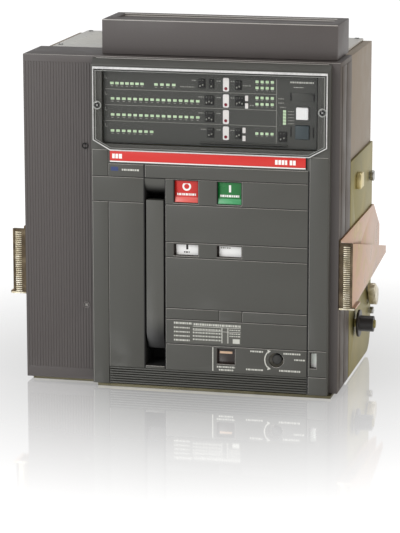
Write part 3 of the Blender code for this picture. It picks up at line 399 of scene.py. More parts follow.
# Where the panels meet: across, and from the foot up
LEVER_LEFT, LEVER_RIGHT = -41.0, -14.8
RIGHT_EDGE = RIGHT_SEAM - 0.5
FOOT, CONTROLS_TOP, PLATE_TOP, LABELS_TOP, BLANK_TOP = 21.4, 54.1, 84.6, 98.0, 160.5
WINDOWS_TOP, SILL_TOP, BUTTONS_TOP, BAND_TOP, PILLAR_TOP = 179.0, 224.5, 255.5, 271.4, 288.0
PILLAR_JOINT = 225.2
crank_hole = ((CRANK[0] - 9, CRANK[0] + 9), (CRANK[1] - 9, CRANK[1] + 9), 32)
# Left pillar and the wide panel beside the lever
panel(left, LEFT_SEAM, 0.3, PILLAR_JOINT)
panel(LEFT_SEAM, LEVER_LEFT, 21.6, PILLAR_JOINT)
panel(left, LEVER_LEFT, PILLAR_JOINT, BUTTONS_TOP)
panel(left, LEFT_SEAM, BUTTONS_TOP, PILLAR_TOP)
panel(LEFT_SEAM, LEVER_LEFT, BUTTONS_TOP, BAND_TOP)
# Band above the buttons, and the foot of the lever's pocket
panel(-40.0, RIGHT_EDGE, BUTTONS_TOP, BAND_TOP)
panel(-40.0, -15.9, FOOT, 25.4)
# The right-hand panels from top to bottom
panel(LEVER_RIGHT, RIGHT_EDGE, SILL_TOP, BUTTONS_TOP, (off_hole, button_hole), (on_hole, button_hole))
panel(LEVER_RIGHT, RIGHT_EDGE, WINDOWS_TOP, SILL_TOP)
panel(LEVER_RIGHT, RIGHT_EDGE, BLANK_TOP, WINDOWS_TOP, (off_hole, WINDOW_Z), (on_hole, WINDOW_Z))
panel(LEVER_RIGHT, RIGHT_EDGE, LABELS_TOP, BLANK_TOP)
for label_left, label_right in ((LEVER_RIGHT, 51.1), (51.1, 79.2), (79.2, RIGHT_EDGE)):
    panel(label_left, label_right, PLATE_TOP, LABELS_TOP)
panel(LEVER_RIGHT, RIGHT_EDGE, CONTROLS_TOP, PLATE_TOP)
panel(LEVER_RIGHT, RIGHT_EDGE, FOOT, CONTROLS_TOP, (lock_hole, lock_hole_z), crank_hole)
# Right pillar with its window
panel(RIGHT_SEAM + 0.5, right, 0.3, 22.2)
panel(RIGHT_SEAM + 0.5, right, 22.2, 54.5, PILLAR_WINDOW)
panel(RIGHT_SEAM + 0.5, right, 54.5, PILLAR_TOP)
# Upward- and left-facing rounds of the panels take the lighter resin: painted highlight.
mesh.normal_update()
for f in mesh.faces:
    if f.normal.y < -0.2 and (f.normal.z > 0.3 or f.normal.x < -0.3):
        f.material_index = 1
finish_piece("cover_panels", mesh, [polyester_cover, painted_highlight_edge])

mesh = copy_of("front_cover")
soften(mesh, sharp_edges(mesh), 0.5, 2)
inside = at(0, COVER_FACE + 1.5, 0).y
# Faces inside the lever's pocket take the near black: painted shade.
for f in mesh.faces:
    centre = f.calc_center_median()
    if centre.y > inside and at(POCKET_X[0] - 1, 0, 0).x < centre.x < at(POCKET_X[1] + 1, 0, 0).x \
            and at(0, 0, POCKET_Z[0] - 1).z < centre.z < at(0, 0, POCKET_Z[1] + 1).z:
        f.material_index = 1
shoulder_foot = at(0, 0, cover_z[1] - 12).z
for f in mesh.faces:
    if f.normal.z > 0.5 and f.calc_center_median().z > shoulder_foot and f.calc_center_median().y < inside:
        f.material_index = 2
# The cover's resin a shade lighter on its upward-facing upper slope: painted light.
painted_light_shoulder_polyester = moulded("glass_filled_polyester_painted_light", "#62615E", "#706F6B", 0.42)
finish_piece("front_cover_shell", mesh, [polyester_cover, shadow_gap, painted_light_shoulder_polyester],
             replaces=["front_cover"])


def soft_bar(mesh, x, y, z, width, segments=2):
    """A cuboid with all its edges rounded."""
    soften(mesh, cuboid(mesh, x, y, z), width, segments)


# A thin bar of the lighter resin along the top of the cover: painted highlight.
mesh = bmesh.new()
soft_bar(mesh, (left + 3, right - 3), (-1.4, -0.5), (cover_z[1] - 1.2, cover_z[1] - 0.2), 0.3, 2)
finish_piece("cover_shoulder_ridge", mesh, painted_highlight_edge)

# The floor of the grooves: a near-black sheet, painted shade for grooves too narrow to see the light
mesh = bmesh.new()
FLOOR = {"front": COVER_FACE - 0.08, "back": COVER_FACE + 0.05, "width": 0.01}
slab(mesh, (left + 1, right - 1), (21.8, 271.2),
     [(off_hole, button_hole), (on_hole, button_hole), (off_hole, WINDOW_Z), (on_hole, WINDOW_Z),
      (lock_hole, lock_hole_z), crank_hole, PILLAR_WINDOW, (POCKET_X, POCKET_Z)], **FLOOR)
slab(mesh, (left + 1, LEFT_SEAM - 0.2), (1, 21.6), **FLOOR)
slab(mesh, (RIGHT_SEAM + 0.2, right - 1), (1, 21.6), **FLOOR)
finish_piece("cover_groove_painted_shade", mesh, shadow_gap)

# Near-black strips in the wider joints, beside the lever's pocket and along the right pillar: painted shade
painted_seam_shade = moulded("painted_seam_shade_black", "#060606", "#0C0C0C", 0.6, relief=0.05)
mesh = bmesh.new()
SEAL = (COVER_FACE - PANEL_PROUD - 0.04, COVER_FACE)
for x, z in (((POCKET_X[0] - 1.1, POCKET_X[0] - 0.1), (21.8, 271)),
             ((POCKET_X[1] + 0.1, POCKET_X[1] + 0.9), (21.8, 254)),
             ((RIGHT_SEAM - 0.5, RIGHT_SEAM + 0.6), (1, 271))):
    cuboid(mesh, x, SEAL, z)
finish_piece("cover_seam_painted_shade", mesh, painted_seam_shade)

# ---------------------------------------------------------------------------------------------
# Lower grille: thin slats under the cover with dark slots between them.
# ---------------------------------------------------------------------------------------------
grille_x, grille_y, grille_z = measure("lower_grille")
mesh = bmesh.new()
SLATS = 7
pitch = (grille_z[1] - grille_z[0]) / SLATS
for i in range(SLATS):
    low = grille_z[0] + pitch * i
    edges = cuboid(mesh, grille_x, (grille_y[0] - 0.4, grille_y[0] + 4), (low + 0.9, low + pitch))
    soften(mesh, [e for e in edges if all(v.co.y < at(0, grille_y[0], 0).y for v in e.verts)], 0.5, 2)
for x in ((grille_x[0], grille_x[0] + 1.2), (grille_x[1] - 1.2, grille_x[1])):
    cuboid(mesh, x, (grille_y[0] + 0.6, grille_y[1]), grille_z)
finish_piece("grille_slats", mesh, polyester_cover, replaces=["lower_grille"])
# A near-black plate behind the slats: painted shade in the slots.
mesh = bmesh.new()
soft_bar(mesh, (grille_x[0] + 1, grille_x[1] - 1), (grille_y[0] + 3, grille_y[1]), (0.2, grille_z[1] - 0.2), 0.2)
finish_piece("grille_back", mesh, shadow_gap)

# ---------------------------------------------------------------------------------------------
# Trip unit: a dark printed face in four rows behind a clear cover. Each row has a line of small
# lamps, setting switches in black blocks, and a white label with a red lamp.
# ---------------------------------------------------------------------------------------------
trip_x, trip_y, trip_z = measure("trip_unit")
FACE = trip_y[0]
# Printed polycarbonate and the small plastics on it: satin black, dead black nylon, flat print, smooth
# film and glossy ABS, each with a finer grain than the mouldings have.
black_face = moulded("printed_black_polycarbonate", "#3A3B38", "#444541", 0.42, relief=0.1)
switch_black = moulded("black_switch_nylon", "#020202", "#070707", 0.6, relief=0.1)
print_white = moulded("screen_print_white", "#B9BAB2", "#D6D7CF", 0.5, grain=0.5, relief=0.05)
print_grey = moulded("screen_print_grey", "#84857F", "#9A9B94", 0.5, grain=0.5, relief=0.05)
label_white = moulded("white_label_film", "#E4E0DE", "#F4F1EF", 0.35, relief=0.05)
white_abs = moulded("white_abs", "#EEEFEE", "#FBFBFB", 0.3, relief=0.1)
lamp_red = moulded("dark_red_lamp_lens", "#7A1B2C", "#93263A", 0.25, relief=0.05)
blue_grey = moulded("blue_grey_abs", "#323E43", "#3D494E", 0.4)

frame["nodes"]["trip_unit"].data.materials.clear()
frame["nodes"]["trip_unit"].data.materials.append(black_face)

# Lamp lens: pale green-white diffusing acrylic, lit from inside by a weak lamp.
lamp_lens, tree = new_material("lit_lamp_lens")
place = add_node(tree, "TexCoord")
cell = add_node(tree, "TexNoise", (), {"Scale": 180, "Detail": 1}, {"Vector": place.outputs["Object"]})
glow = add_node(tree, "MixRGB", (), {"Color1": linear("#9FBE92"), "Color2": linear("#CFE0C4")},
                {"Fac": cell.outputs["Fac"]})
shader = add_node(tree, "BsdfPrincipled", (), {"Roughness": 0.3, "Emission Strength": 0.22, "IOR": 1.49},
                  {"Base Color": glow.outputs[0], "Emission Color": glow.outputs[0]})
add_node(tree, "OutputMaterial", (), (), {"Surface": shader.outputs[0]})


def mark(mesh, x, z, face, proud=0.15):
    """A printed bar on a front-facing plane."""
    return cuboid(mesh, x, (face - proud, face + 0.05), z)


def soft_mark(mesh, x, z, face, proud, width, segments):
    """A small block on a front-facing plane, with rounded edges."""
    soften(mesh, mark(mesh, x, z, face, proud), width, segments)


def caption(mesh, x0, x1, z, face, height=1.5):
    """A line of tiny print, shown as short dashes of uneven length."""
    lengths = (1.6, 2.6, 1.2, 2.1, 3.0, 1.4)
    x, i = x0, 0
    while x < x1 - 0.6:
        mark(mesh, (x, min(x + lengths[i % 6], x1)), (z - height / 2, z + height / 2), face)
        x += lengths[i % 6] + 0.7
        i += 1


LAMP_PITCH = 6.94
rows = {366.7: [(-81.4 + 6.15 * i) for i in range(7)] + [(-27.4 + 7.2 * i) for i in range(4)],
        348.3: [(-80.8 + LAMP_PITCH * i) for i in range(16)],
        329: [(-80.8 + LAMP_PITCH * i) for i in range(16)],
        309.7: [(-81.1 + 6.87 * i) for i in range(8)]}
lamps = bmesh.new()
under = bmesh.new()
for z, xs in rows.items():
    for x in xs:
        edges = mark(lamps, (x - 2.2, x + 2.2), (z - 1.3, z + 1.7), FACE, 0.8)
        soften(lamps, edges, 0.45, 2)
        mark(under, (x - 1.6, x + 1.2), (z - 3.6, z - 2.7), FACE)
for z in (373.9, 366.7, 354.9, 347.4, 312.5):
    for i in range(4):
        x = 94.7 + i * 6.1
        soft_mark(lamps, (x - 1.9, x + 1.9), (z - 1.6, z + 1.6), FACE, 0.8, 0.45, 2)
        mark(under, (x - 1.4, x + 1.2), (z - 3.4, z - 2.7), FACE)
for i in range(5):
    soft_mark(lamps, (125.9, 129.6), (324.1 + 3.6 * i, 327.1 + 3.6 * i), FACE, 0.8, 0.4, 2)
    caption(under, 132, 139, 325.6 + 3.6 * i, FACE, 1.0)
finish_piece("trip_lamps", lamps, lamp_lens)

for z in (359.7, 340.7, 321.7):
    mark(under, (trip_x[0] + 2, 118), (z - 0.25, z + 0.25), FACE)
mark(under, (117.7, 118.3), (301.5, 377.5), FACE)
for z in (374.2, 354.7, 335.7, 316.2):
    mark(under, (-90.3, -89.5), (z - 2.0, z + 2.0), FACE)
    mark(under, (-90.3, -87.6), (z - 2.0, z - 1.2), FACE)
caption(under, 2, 19, 365.2, FACE, 1.2)
for x0, x1, z in ((16, 22, 373.2), (46, 51.5, 373.2), (24, 30.5, 353.7), (46, 51.5, 353.7),
                  (24, 30.5, 334.7), (46, 51.5, 334.7),
                  (27, 33.5, 315.2), (46, 51.5, 315.2), (63, 67.5, 373.2), (63, 67.5, 353.7), (63, 67.5, 315.2),
                  (77.5, 88, 368.7), (86, 92, 345.7), (120, 128, 354.7), (120, 127, 349.7), (122.5, 129, 344.7)):
    caption(under, x0, x1, z, FACE, 1.1)
finish_piece("trip_print_grey", under, print_grey)

white_print = bmesh.new()
caption(white_print, 134.4, 162.3, 374.5, FACE, 1.9)
caption(white_print, 138.5, 150, 368.7, FACE, 0.8)
caption(white_print, 143, 156, 357.2, FACE, 1.4)
finish_piece("trip_print_white", white_print, print_white)

switches = bmesh.new()
toggles = bmesh.new()
for x0, x1, z0, z1, count in ((24, 32.3, 364.2, 375.4, 2), (37.2, 43, 364.2, 375.4, 1), (31.7, 43, 344.5, 355.9, 3),
                              (31.7, 43, 324.4, 336.8, 3), (34.8, 43, 305.8, 317.4, 2), (68.4, 76.2, 363.7, 374.9, 2),
                              (68.4, 79.7, 344.8, 355.9, 3), (68.4, 76.2, 305.6, 317.7, 2),
                              (120.5, 130.9, 303.9, 315.8, 2)):
    soft_mark(switches, (x0, x1), (z0, z1), FACE, 1.6, 0.4, 2)
    step = (x1 - x0) / (count + 0.6)
    for i in range(count):
        x = x0 + step * (i + 0.8)
        z = z0 + (z1 - z0) * (0.42 if i % 2 else 0.30)
        soft_mark(toggles, (x - 0.9, x + 0.7), (z - 1.5, z + 0.5), FACE - 1.6, 0.9, 0.3, 1)
        mark(toggles, (x - 0.5, x + 0.3), (z1 - 2.0, z1 - 1.3), FACE - 1.6)
finish_piece("setting_switch_blocks", switches, switch_black)
finish_piece("setting_switch_toggles", toggles, print_grey)


def drum(mesh, place, near_radius, far_radius, depth, segments):
    """A drum or a cone between two radii. Gives back its vertices."""
    return bmesh.ops.create_cone(mesh, cap_ends=True, segments=segments, radius1=near_radius * MM,
                                 radius2=far_radius * MM, depth=depth * MM, matrix=place)["verts"]


labels = bmesh.new()
dots = bmesh.new()
for z0, z1, dot in ((361.3, 377.3, 364.6), (342.2, 357.8, 345.5), (322.6, 339.1, 326.4), (303.5, 319.6, 307.1)):
    edges = mark(labels, (53.8, 61.0), (z0, z1), FACE, 0.7)
    corners = [e for e in edges if abs(e.verts[0].co.y - e.verts[1].co.y) > 1e-5]
    soften(labels, corners, 1.6, 4)
    drum(dots, facing(57.2, FACE - 0.9, dot), 2.1, 1.5, 0.9, 20)
for x, z0, z1 in ((82.2, 350.7, 357.2), (82.2, 341.7, 348.1), (79.3, 312.4, 319), (79.3, 302.9, 309.4)):
    soft_mark(labels, (x - 1.9, x + 1.9), (z0, z1), FACE, 0.8, 0.4, 1)
finish_piece("trip_labels", labels, label_white)
finish_piece("trip_red_lamps", dots, lamp_red)

# Painted shade: the near-black walls of the opening round the unit's face, and the black notches that the cover hooks
# into
parts = bmesh.new()
for x, z in (((trip_x[0] - 0.5, trip_x[1] + 0.5), (trip_z[1] - 0.7, trip_z[1] + 0.5)),
             ((trip_x[1] - 0.7, trip_x[1] + 0.5), (trip_z[0], trip_z[1]))):
    soft_bar(parts, x, (COVER_FACE - 0.1, FACE), z, 0.1, 1)
for x in ((-100.6, -94.5), (164.5, 173.5)):
    soft_bar(parts, x, (COVER_FACE - 0.25, COVER_FACE + 0.5), (381.7, 383.5), 0.1, 1)
finish_piece("trip_opening_shade", parts, shadow_gap)

# Module window on the right, the slots beside the plug, and the pull lip along the lower edge
parts = bmesh.new()
soft_mark(parts, (136.6, 161.4), (352.3, 362.1), FACE, 0.5, 0.4, 2)
finish_piece("module_window", parts, black_face)
# The black marks in the slots beside the plug and the strip under the pull lip: painted shade.
parts = bmesh.new()
for x0, x1, z0, z1 in ((134.2, 136.0, 352.3, 362.1), (162.0, 163.8, 352.3, 362.1), (134.6, 136.4, 309.7, 322.2),
                       (161.4, 163.2, 309.7, 322.2), (26.4, 131.5, 297.1, 298.3)):
    soft_mark(parts, (x0, x1), (z0, z1), FACE, 0.3, 0.2, 1)
finish_piece("trip_slots", parts, switch_black)
parts = bmesh.new()
soft_mark(parts, (26.0, 132.0), (298.7, 300.3), FACE, 2.6, 0.7, 3)
finish_piece("trip_pull_lip", parts, black_face)


def inset(mesh, faces, width):
    """Draws a region of faces in from its border, by a width in millimetres."""
    bmesh.ops.inset_region(mesh, faces=faces, thickness=width * MM, depth=0, use_boundary=True,
                           use_even_offset=True)


mesh = copy_of("test_button")
soften(mesh, sharp_edges(mesh), 0.8, 3)
cap = [f for f in mesh.faces if f.normal.y < -0.99]
inset(mesh, cap, 2.2)
bmesh.ops.translate(mesh, verts=list({v for f in cap for v in f.verts}), vec=(0, 0.5 * MM, 0))
finish_piece("test_button_cap", mesh, white_abs, "test_button", ["test_button"])
softened("rating_plug", "rating_plug_body", blue_grey, 0.6, 2)

# ---------------------------------------------------------------------------------------------
# Clear cover: a polycarbonate pane with a polished bead all round, painted bright as a highlight,
# held at each side by a captive screw.
# ---------------------------------------------------------------------------------------------
pane_x, pane_y, pane_z = measure("trip_cover")

# Clear polycarbonate: almost nothing but its gloss shows. The body is carried as coverage, which
# a thin pane needs, and a faint cloud stands for wiping marks.
clear_pane, tree = new_material("clear_polycarbonate")
place = add_node(tree, "TexCoord")
wipe = add_node(tree, "TexNoise", (), {"Scale": 25, "Detail": 3}, {"Vector": place.outputs["Object"]})
dull = add_node(tree, "MapRange", (), {"To Min": 0.05, "To Max": 0.14}, {"Value": wipe.outputs["Fac"]})
shader = add_node(tree, "BsdfPrincipled", (),
                  {"Base Color": linear("#3A3B38"), "IOR": 1.58, "Alpha": 0.05}, {"Roughness": dull.outputs[0]})
add_node(tree, "OutputMaterial", (), (), {"Surface": shader.outputs[0]})
softened("trip_cover", "trip_cover_pane", clear_pane, 0.5, 2)

# Polycarbonate bead painted near white as a highlight, clouded along its length.
painted_highlight_bead = moulded("polycarbonate_bead_painted_highlight", "#8A8C89", "#FFFFFF", 0.12, grain=3, relief=0.0, cloud=40)
# A dimmer copy of the bead's painted highlight, for the inner bead and the screw rings.
grey_bead = moulded("polished_bead_in_shade", "#8E908C", "#A9ABA7", 0.15, relief=0.0)


def rim(mesh, corners, width, front, back, round_width):
    """A raised bead along a closed outline, inside it."""
    sheet = bmesh.new()
    sheet.faces.new([sheet.verts.new(at(x, front, z)) for x, z in corners])
    sheet.normal_update()
    inner = sheet.faces[:]
    inset(sheet, inner, width)
    bmesh.ops.delete(sheet, geom=inner, context="FACES")
    add_raised(mesh, sheet, front, back, round_width, 3)


CORNER = 21.0
side_foot = pane_z[0] + 11.6
outline = [(pane_x[0], pane_z[1]), (pane_x[1], pane_z[1]), (pane_x[1], side_foot),
           (pane_x[1] - CORNER, pane_z[0]), (pane_x[0] + CORNER, pane_z[0]), (pane_x[0], side_foot)]
mesh = bmesh.new()
rim(mesh, outline, 1.2, pane_y[0] - 0.9, pane_y[0] + 0.3, 0.45)
finish_piece("trip_cover_bead", mesh, painted_highlight_bead)
mesh = bmesh.new()
soft_bar(mesh, (pane_x[0] + 0.4, pane_x[1] - 0.4), (pane_y[0] - 1.1, pane_y[0] + 0.2),
                    (pane_z[1] - 2.8, pane_z[1] - 0.2), 0.6, 3)
finish_piece("trip_cover_top_bead", mesh, painted_highlight_bead)
mesh = bmesh.new()
inner = [(pane_x[0] + 3.2, pane_z[1] - 4.4), (pane_x[1] - 3.2, pane_z[1] - 4.4), (pane_x[1] - 3.2, side_foot + 1.2),
         (pane_x[1] - CORNER - 1.2, pane_z[0] + 2.6), (pane_x[0] + CORNER + 1.2, pane_z[0] + 2.6),
         (pane_x[0] + 3.2, side_foot + 1.2)]
rim(mesh, inner, 0.6, pane_y[0] - 0.5, pane_y[0] + 0.3, 0.2)
finish_piece("trip_cover_inner_bead", mesh, grey_bead)

# Bright zinc-plated steel: a clear passivation over fine turning marks.
zinc_bright, tree = new_material("bright_zinc_steel")
place = add_node(tree, "TexCoord")
turning = add_node(tree, "TexNoise", (), {"Scale": 600, "Detail": 3}, {"Vector": place.outputs["Object"]})
tone = add_node(tree, "MixRGB", (), {"Color1": linear("#8C8C8A"), "Color2": linear("#C9CAC8")},
                {"Fac": turning.outputs["Fac"]})
relief = add_node(tree, "Bump", (), {"Strength": 0.2, "Distance": 0.0001}, {"Height": turning.outputs["Fac"]})
shader = add_node(tree, "BsdfPrincipled", (), {"Metallic": 1.0, "Roughness": 0.28},
                  {"Base Color": tone.outputs[0], "Normal": relief.outputs[0]})
add_node(tree, "OutputMaterial", (), (), {"Surface": shader.outputs[0]})


HEAD_DEPTH = 1.3


def screw_piece(node, name, ring, recess):
    """A captive screw: domed head, dark cross recess, its shank left to the hole."""
    x, y, z = measure(node)
    mesh = bmesh.new()
    middle_x, middle_z = (x[0] + x[1]) / 2, (z[0] + z[1]) / 2
    radius = (x[1] - x[0]) / 2
    drum(mesh, facing(middle_x, (y[0] + HEAD_DEPTH + y[1]) / 2, middle_z), radius * 0.42, radius * 0.42,
         y[1] - y[0] - HEAD_DEPTH, 20)
    head = drum(mesh, facing(middle_x, y[0] + 0.75, middle_z), radius * 0.86, radius, HEAD_DEPTH, 32)
    top = min({f for v in head for f in v.link_faces}, key=lambda f: f.calc_center_median().y)
    soften(mesh, list(top.edges), 0.3, 2)
    top = min((f for f in mesh.faces if len(f.verts) > 8), key=lambda f: f.calc_center_median().y)
    inset(mesh, [top], radius * 0.34)
    bmesh.ops.translate(mesh, verts=list(top.verts), vec=(0, 0.9 * MM, 0))
    for side in top.edges:
        for f in side.link_faces:
            f.material_index = 1
    for f in list(top.verts[0].link_faces):
        f.material_index = 1
    top.material_index = 1
    for angle in (math.pi / 4, -math.pi / 4):
        spin = Matrix.Translation(at(middle_x, y[0] + 0.75, middle_z)) @ Matrix.Rotation(angle, 4, "Y")
        arm = bmesh.ops.create_cube(mesh, size=1, matrix=spin @ Matrix.Diagonal(
            (radius * 0.9 * MM, 0.5 * MM, radius * 0.2 * MM, 1)))["verts"]
        for f in {f for v in arm for f in v.link_faces}:
            f.material_index = 0
    return finish_piece(name, mesh, [ring, recess], body_of(node), [node])


def flat_ring(mesh, x, y, z, radius, width, segments):
    """A flat ring facing the front, with its width inside its radius."""
    outer = bmesh.ops.create_circle(mesh, cap_ends=True, radius=radius * MM, segments=segments,
                                    matrix=facing(x, y, z))["verts"]
    mesh.normal_update()
    disc = list({f for v in outer for f in v.link_faces})
    inset(mesh, disc, width)
    bmesh.ops.delete(mesh, geom=disc, context="FACES")


mesh = bmesh.new()
for node in ("trip_cover_screw_left", "trip_cover_screw_right"):
    x, _, z = measure(node)
    flat_ring(mesh, sum(x) / 2, pane_y[0] - 0.35, sum(z) / 2, 5.2, 1.2, 36)
thicken(mesh, -0.7)
soften(mesh, sharp_edges(mesh, 60), 0.2, 2)
finish_piece("trip_cover_screw_rings", mesh, grey_bead)

# The recess of three heads is near black: painted shade. The lower casing screw's head takes the lighter edge resin:
# painted highlight.
screw_piece("trip_cover_screw_left", "trip_cover_screw_left_head", zinc_bright, shadow_gap)
screw_piece("trip_cover_screw_right", "trip_cover_screw_right_head", zinc_bright, shadow_gap)
screw_piece("casing_screw_upper", "casing_screw_upper_head", polyester_casing, shadow_gap)
screw_piece("casing_screw_lower", "casing_screw_lower_head", painted_highlight_edge, polyester_casing)

# ---------------------------------------------------------------------------------------------
# Colour strip: a red enamelled strip under the trip unit, with a white line along its foot, and
# a small printed plate below its left end.
# ---------------------------------------------------------------------------------------------
strip_x, strip_y, strip_z = measure("colour_strip")
# Red enamel: even and glossy, baked on aluminium.
red_enamel = moulded("red_enamel", "#C8231C", "#D62C24", 0.35, relief=0.03)
white_enamel = moulded("white_enamel", "#F0F0EC", "#FBFBF8", 0.3, relief=0.03)
flag_blue = moulded("blue_print", "#2C3A66", "#35447A", 0.4, relief=0.03)
mesh = bmesh.new()
soft_bar(mesh, strip_x, (strip_y[0] - 0.5, strip_y[1] + 0.2), (strip_z[0] + 1.4, strip_z[1]), 0.3, 2)
finish_piece("colour_strip_red", mesh, red_enamel, replaces=["colour_strip"])
mesh = bmesh.new()
soft_bar(mesh, (strip_x[0], strip_x[1]), (strip_y[0] - 0.7, strip_y[1] + 0.2),
                    (strip_z[0] - 0.2, strip_z[0] + 1.2), 0.2, 1)
soft_bar(mesh, (strip_x[0], strip_x[1]), (strip_y[0] - 0.6, strip_y[1] + 0.2),
                    (strip_z[1] - 0.1, strip_z[1] + 0.5), 0.15, 1)
finish_piece("colour_strip_white_line", mesh, white_enamel)
mesh = bmesh.new()
for x0, x1 in ((-79.5, -76.3), (-75.4, -72.2), (-71.3, -67.4), (118.5, 121.6), (122.5, 125.6), (126.5, 129.6),
               (130.5, 133.0), (136.0, 139.1), (140.0, 143.1)):
    mark(mesh, (x0, x1), (strip_z[0] + 4.2, strip_z[0] + 9.8), strip_y[0] - 0.5)
finish_piece("colour_strip_print", mesh, white_enamel)
# Near-black strips under and beside the red strip: painted shade.
mesh = bmesh.new()
cuboid(mesh, (strip_x[0] - 1, strip_x[1] + 1), (strip_y[1] - 0.4, strip_y[1] + 0.3),
       (strip_z[0] - 0.9, strip_z[0] - 0.1))
cuboid(mesh, (strip_x[1] + 0.2, strip_x[1] + 1.2), (strip_y[0], strip_y[1] + 0.3),
       (strip_z[0] - 0.9, strip_z[1] + 0.6))
finish_piece("colour_strip_gap", mesh, shadow_gap)

PANEL_FACE = COVER_FACE - PANEL_PROUD
mesh = bmesh.new()
mark(mesh, (-81.5, -72.5), (262.6, 267.4), PANEL_FACE)
finish_piece("plate_blue_mark", mesh, flag_blue)
mesh = bmesh.new()
caption(mesh, -68, -46, 264.2, PANEL_FACE, 2.2)
finish_piece("plate_print", mesh, print_white)

# ---------------------------------------------------------------------------------------------
# Off and on buttons: glossy moulded caps sunk in their openings, with a lip at the foot that
# catches the light. They carry the ring and the bar of off and on.
# ---------------------------------------------------------------------------------------------
# Gloss ABS from a polished mould: strong even colour. The paler copies on the sloped lip are a painted highlight.
red_gloss = moulded("red_gloss_abs", "#C51F18", "#D0281F", 0.25, relief=0.03)
green_gloss = moulded("green_gloss_abs", "#046A2B", "#0A7633", 0.25, relief=0.03)
painted_red_highlight = moulded("red_abs_painted_lip_highlight", "#E0564E", "#E87068", 0.3, relief=0.03)
painted_green_highlight = moulded("green_abs_painted_lip_highlight", "#3F9A60", "#5DB07B", 0.3, relief=0.03)


def button_cap(node, name, colour, lip_colour, symbol):
    """A push button cap: a face that is hollow from top to bottom and a sloped lip under it."""
    x, y, z = measure(node)
    x = (x[0] + FLANGE + 0.5, x[1] - FLANGE - 0.5)
    z = (z[0] + FLANGE + 0.4, z[1] - FLANGE)
    rear = y[1] - 15
    mesh = bmesh.new()
    edges = cuboid(mesh, x, (y[0], rear), z)
    upright = [e for e in edges if abs(e.verts[0].co.z - e.verts[1].co.z) > 1e-3]
    bmesh.ops.subdivide_edges(mesh, edges=upright, cuts=8, use_grid_fill=True)
    front = at(0, y[0], 0).y
    low, high = at(0, 0, z[0]).z, at(0, 0, z[1]).z
    for vert in mesh.verts:
        if vert.co.y > front + 1e-5:
            continue
        share = (vert.co.z - low) / (high - low)
        vert.co.y += 0.9 * MM * math.sin(math.pi * share)
        if share < 0.01:
            vert.co.y -= 2.2 * MM
        elif share < 0.12:
            vert.co.y -= 1.6 * MM
    soften(mesh, sharp_edges(mesh, 60), 0.3, 2)
    # The lip at the foot of the face takes the paler copy: painted highlight.
    for f in mesh.faces:
        centre = f.calc_center_median()
        if centre.z < low + 5.0 * MM and centre.y < front + 3 * MM and f.normal.z > -0.5:
            f.material_index = 1
    flange = cuboid(mesh, (x[0] - FLANGE, x[1] + FLANGE), (COVER_FACE + 4.2, COVER_FACE + 5.3),
                    (z[0] - FLANGE, z[1] + FLANGE))
    soften(mesh, flange, 0.3, 1)
    drum(mesh, facing(sum(x) / 2, (rear + y[1]) / 2 - 0.3, sum(z) / 2), 4, 4, y[1] - rear + 0.6, 24)
    finish_piece(name, mesh, [colour, lip_colour], body_of(node), [node])
    mesh = bmesh.new()
    middle = (x[0] + x[1]) / 2
    face = y[0] + 0.9
    if symbol == "ring":
        flat_ring(mesh, middle, face, z[1] - 7.6, 5.3, 2.2, 40)
        thicken(mesh, -0.5)
    else:
        mark(mesh, (middle - 1.25, middle + 1.25), (z[1] - 12.6, z[1] - 2.6), face, 0.5)
    caption(mesh, x[0] + 2.5, x[1] - 2.5, z[1] - 17.2, face - 0.15, 2.6)
    finish_piece(name + "_symbol", mesh, white_enamel, body_of(node))


button_cap("off_button", "off_button_cap", red_gloss, painted_red_highlight, "ring")
button_cap("on_button", "on_button_cap", green_gloss, painted_green_highlight, "bar")

# ---------------------------------------------------------------------------------------------
# Indicator flags: white printed strips behind the two windows and a pale green one behind the
# pillar window. What each shows next is printed lower down the strip.
# ---------------------------------------------------------------------------------------------
# Printed film: flat, nearly grainless colour with a soft sheen.
flag_white = moulded("white_flag_film", "#F9F9F6", "#FFFFFF", 0.35, relief=0.03)
flag_green = moulded("pale_green_flag_film", "#EAF3E8", "#F6FBF4", 0.4, relief=0.03)
flag_yellow = moulded("yellow_flag_film", "#D9B31F", "#E6C22C", 0.4, relief=0.03)
print_black = moulded("black_print", "#151515", "#202020", 0.5, relief=0.03)
# Brown-black ABS: the back of a flag, and round a window the same colour as painted shade on the recess wall.
flag_back_and_recess_shade_brown = moulded("brown_flag_back_and_painted_recess_shade", "#241D19", "#302722", 0.5)
FILM_LIFT = 0.12
# On the two windowed flags the film leaves the brown carrier showing to its left and above it: partly the carrier,
# partly painted shade.
for node, film, gap in (("contact_flag", flag_white, 3.4), ("spring_flag", flag_white, 3.4),
                        ("racking_flag", flag_green, 0.6)):
    softened(node, node + "_carrier", flag_back_and_recess_shade_brown, 0.2, 1)
    x, y, z = measure(node)
    mesh = bmesh.new()
    soft_bar(mesh, (x[0] + gap, x[1] - 0.6), (y[0] - FILM_LIFT, y[0] + 0.1),
             (z[0] + 0.6, z[1] - gap), 0.1, 1)
    finish_piece(node + "_film", mesh, film, body_of(node))

flag_x, flag_y, _ = measure("contact_flag")
middle = (flag_x[0] + flag_x[1]) / 2
mesh = bmesh.new()
mark(mesh, (middle - 1.3, middle + 1.3), (169.5, 178.5), flag_y[0])
caption(mesh, middle - 4, middle + 4, 166.2, flag_y[0], 1.7)
flat_ring(mesh, middle, flag_y[0] - 0.15, 156.5, 3.6, 1.3, 32)
thicken(mesh, 0.2)
finish_piece("contact_flag_print", mesh, print_black, body_of("contact_flag"))

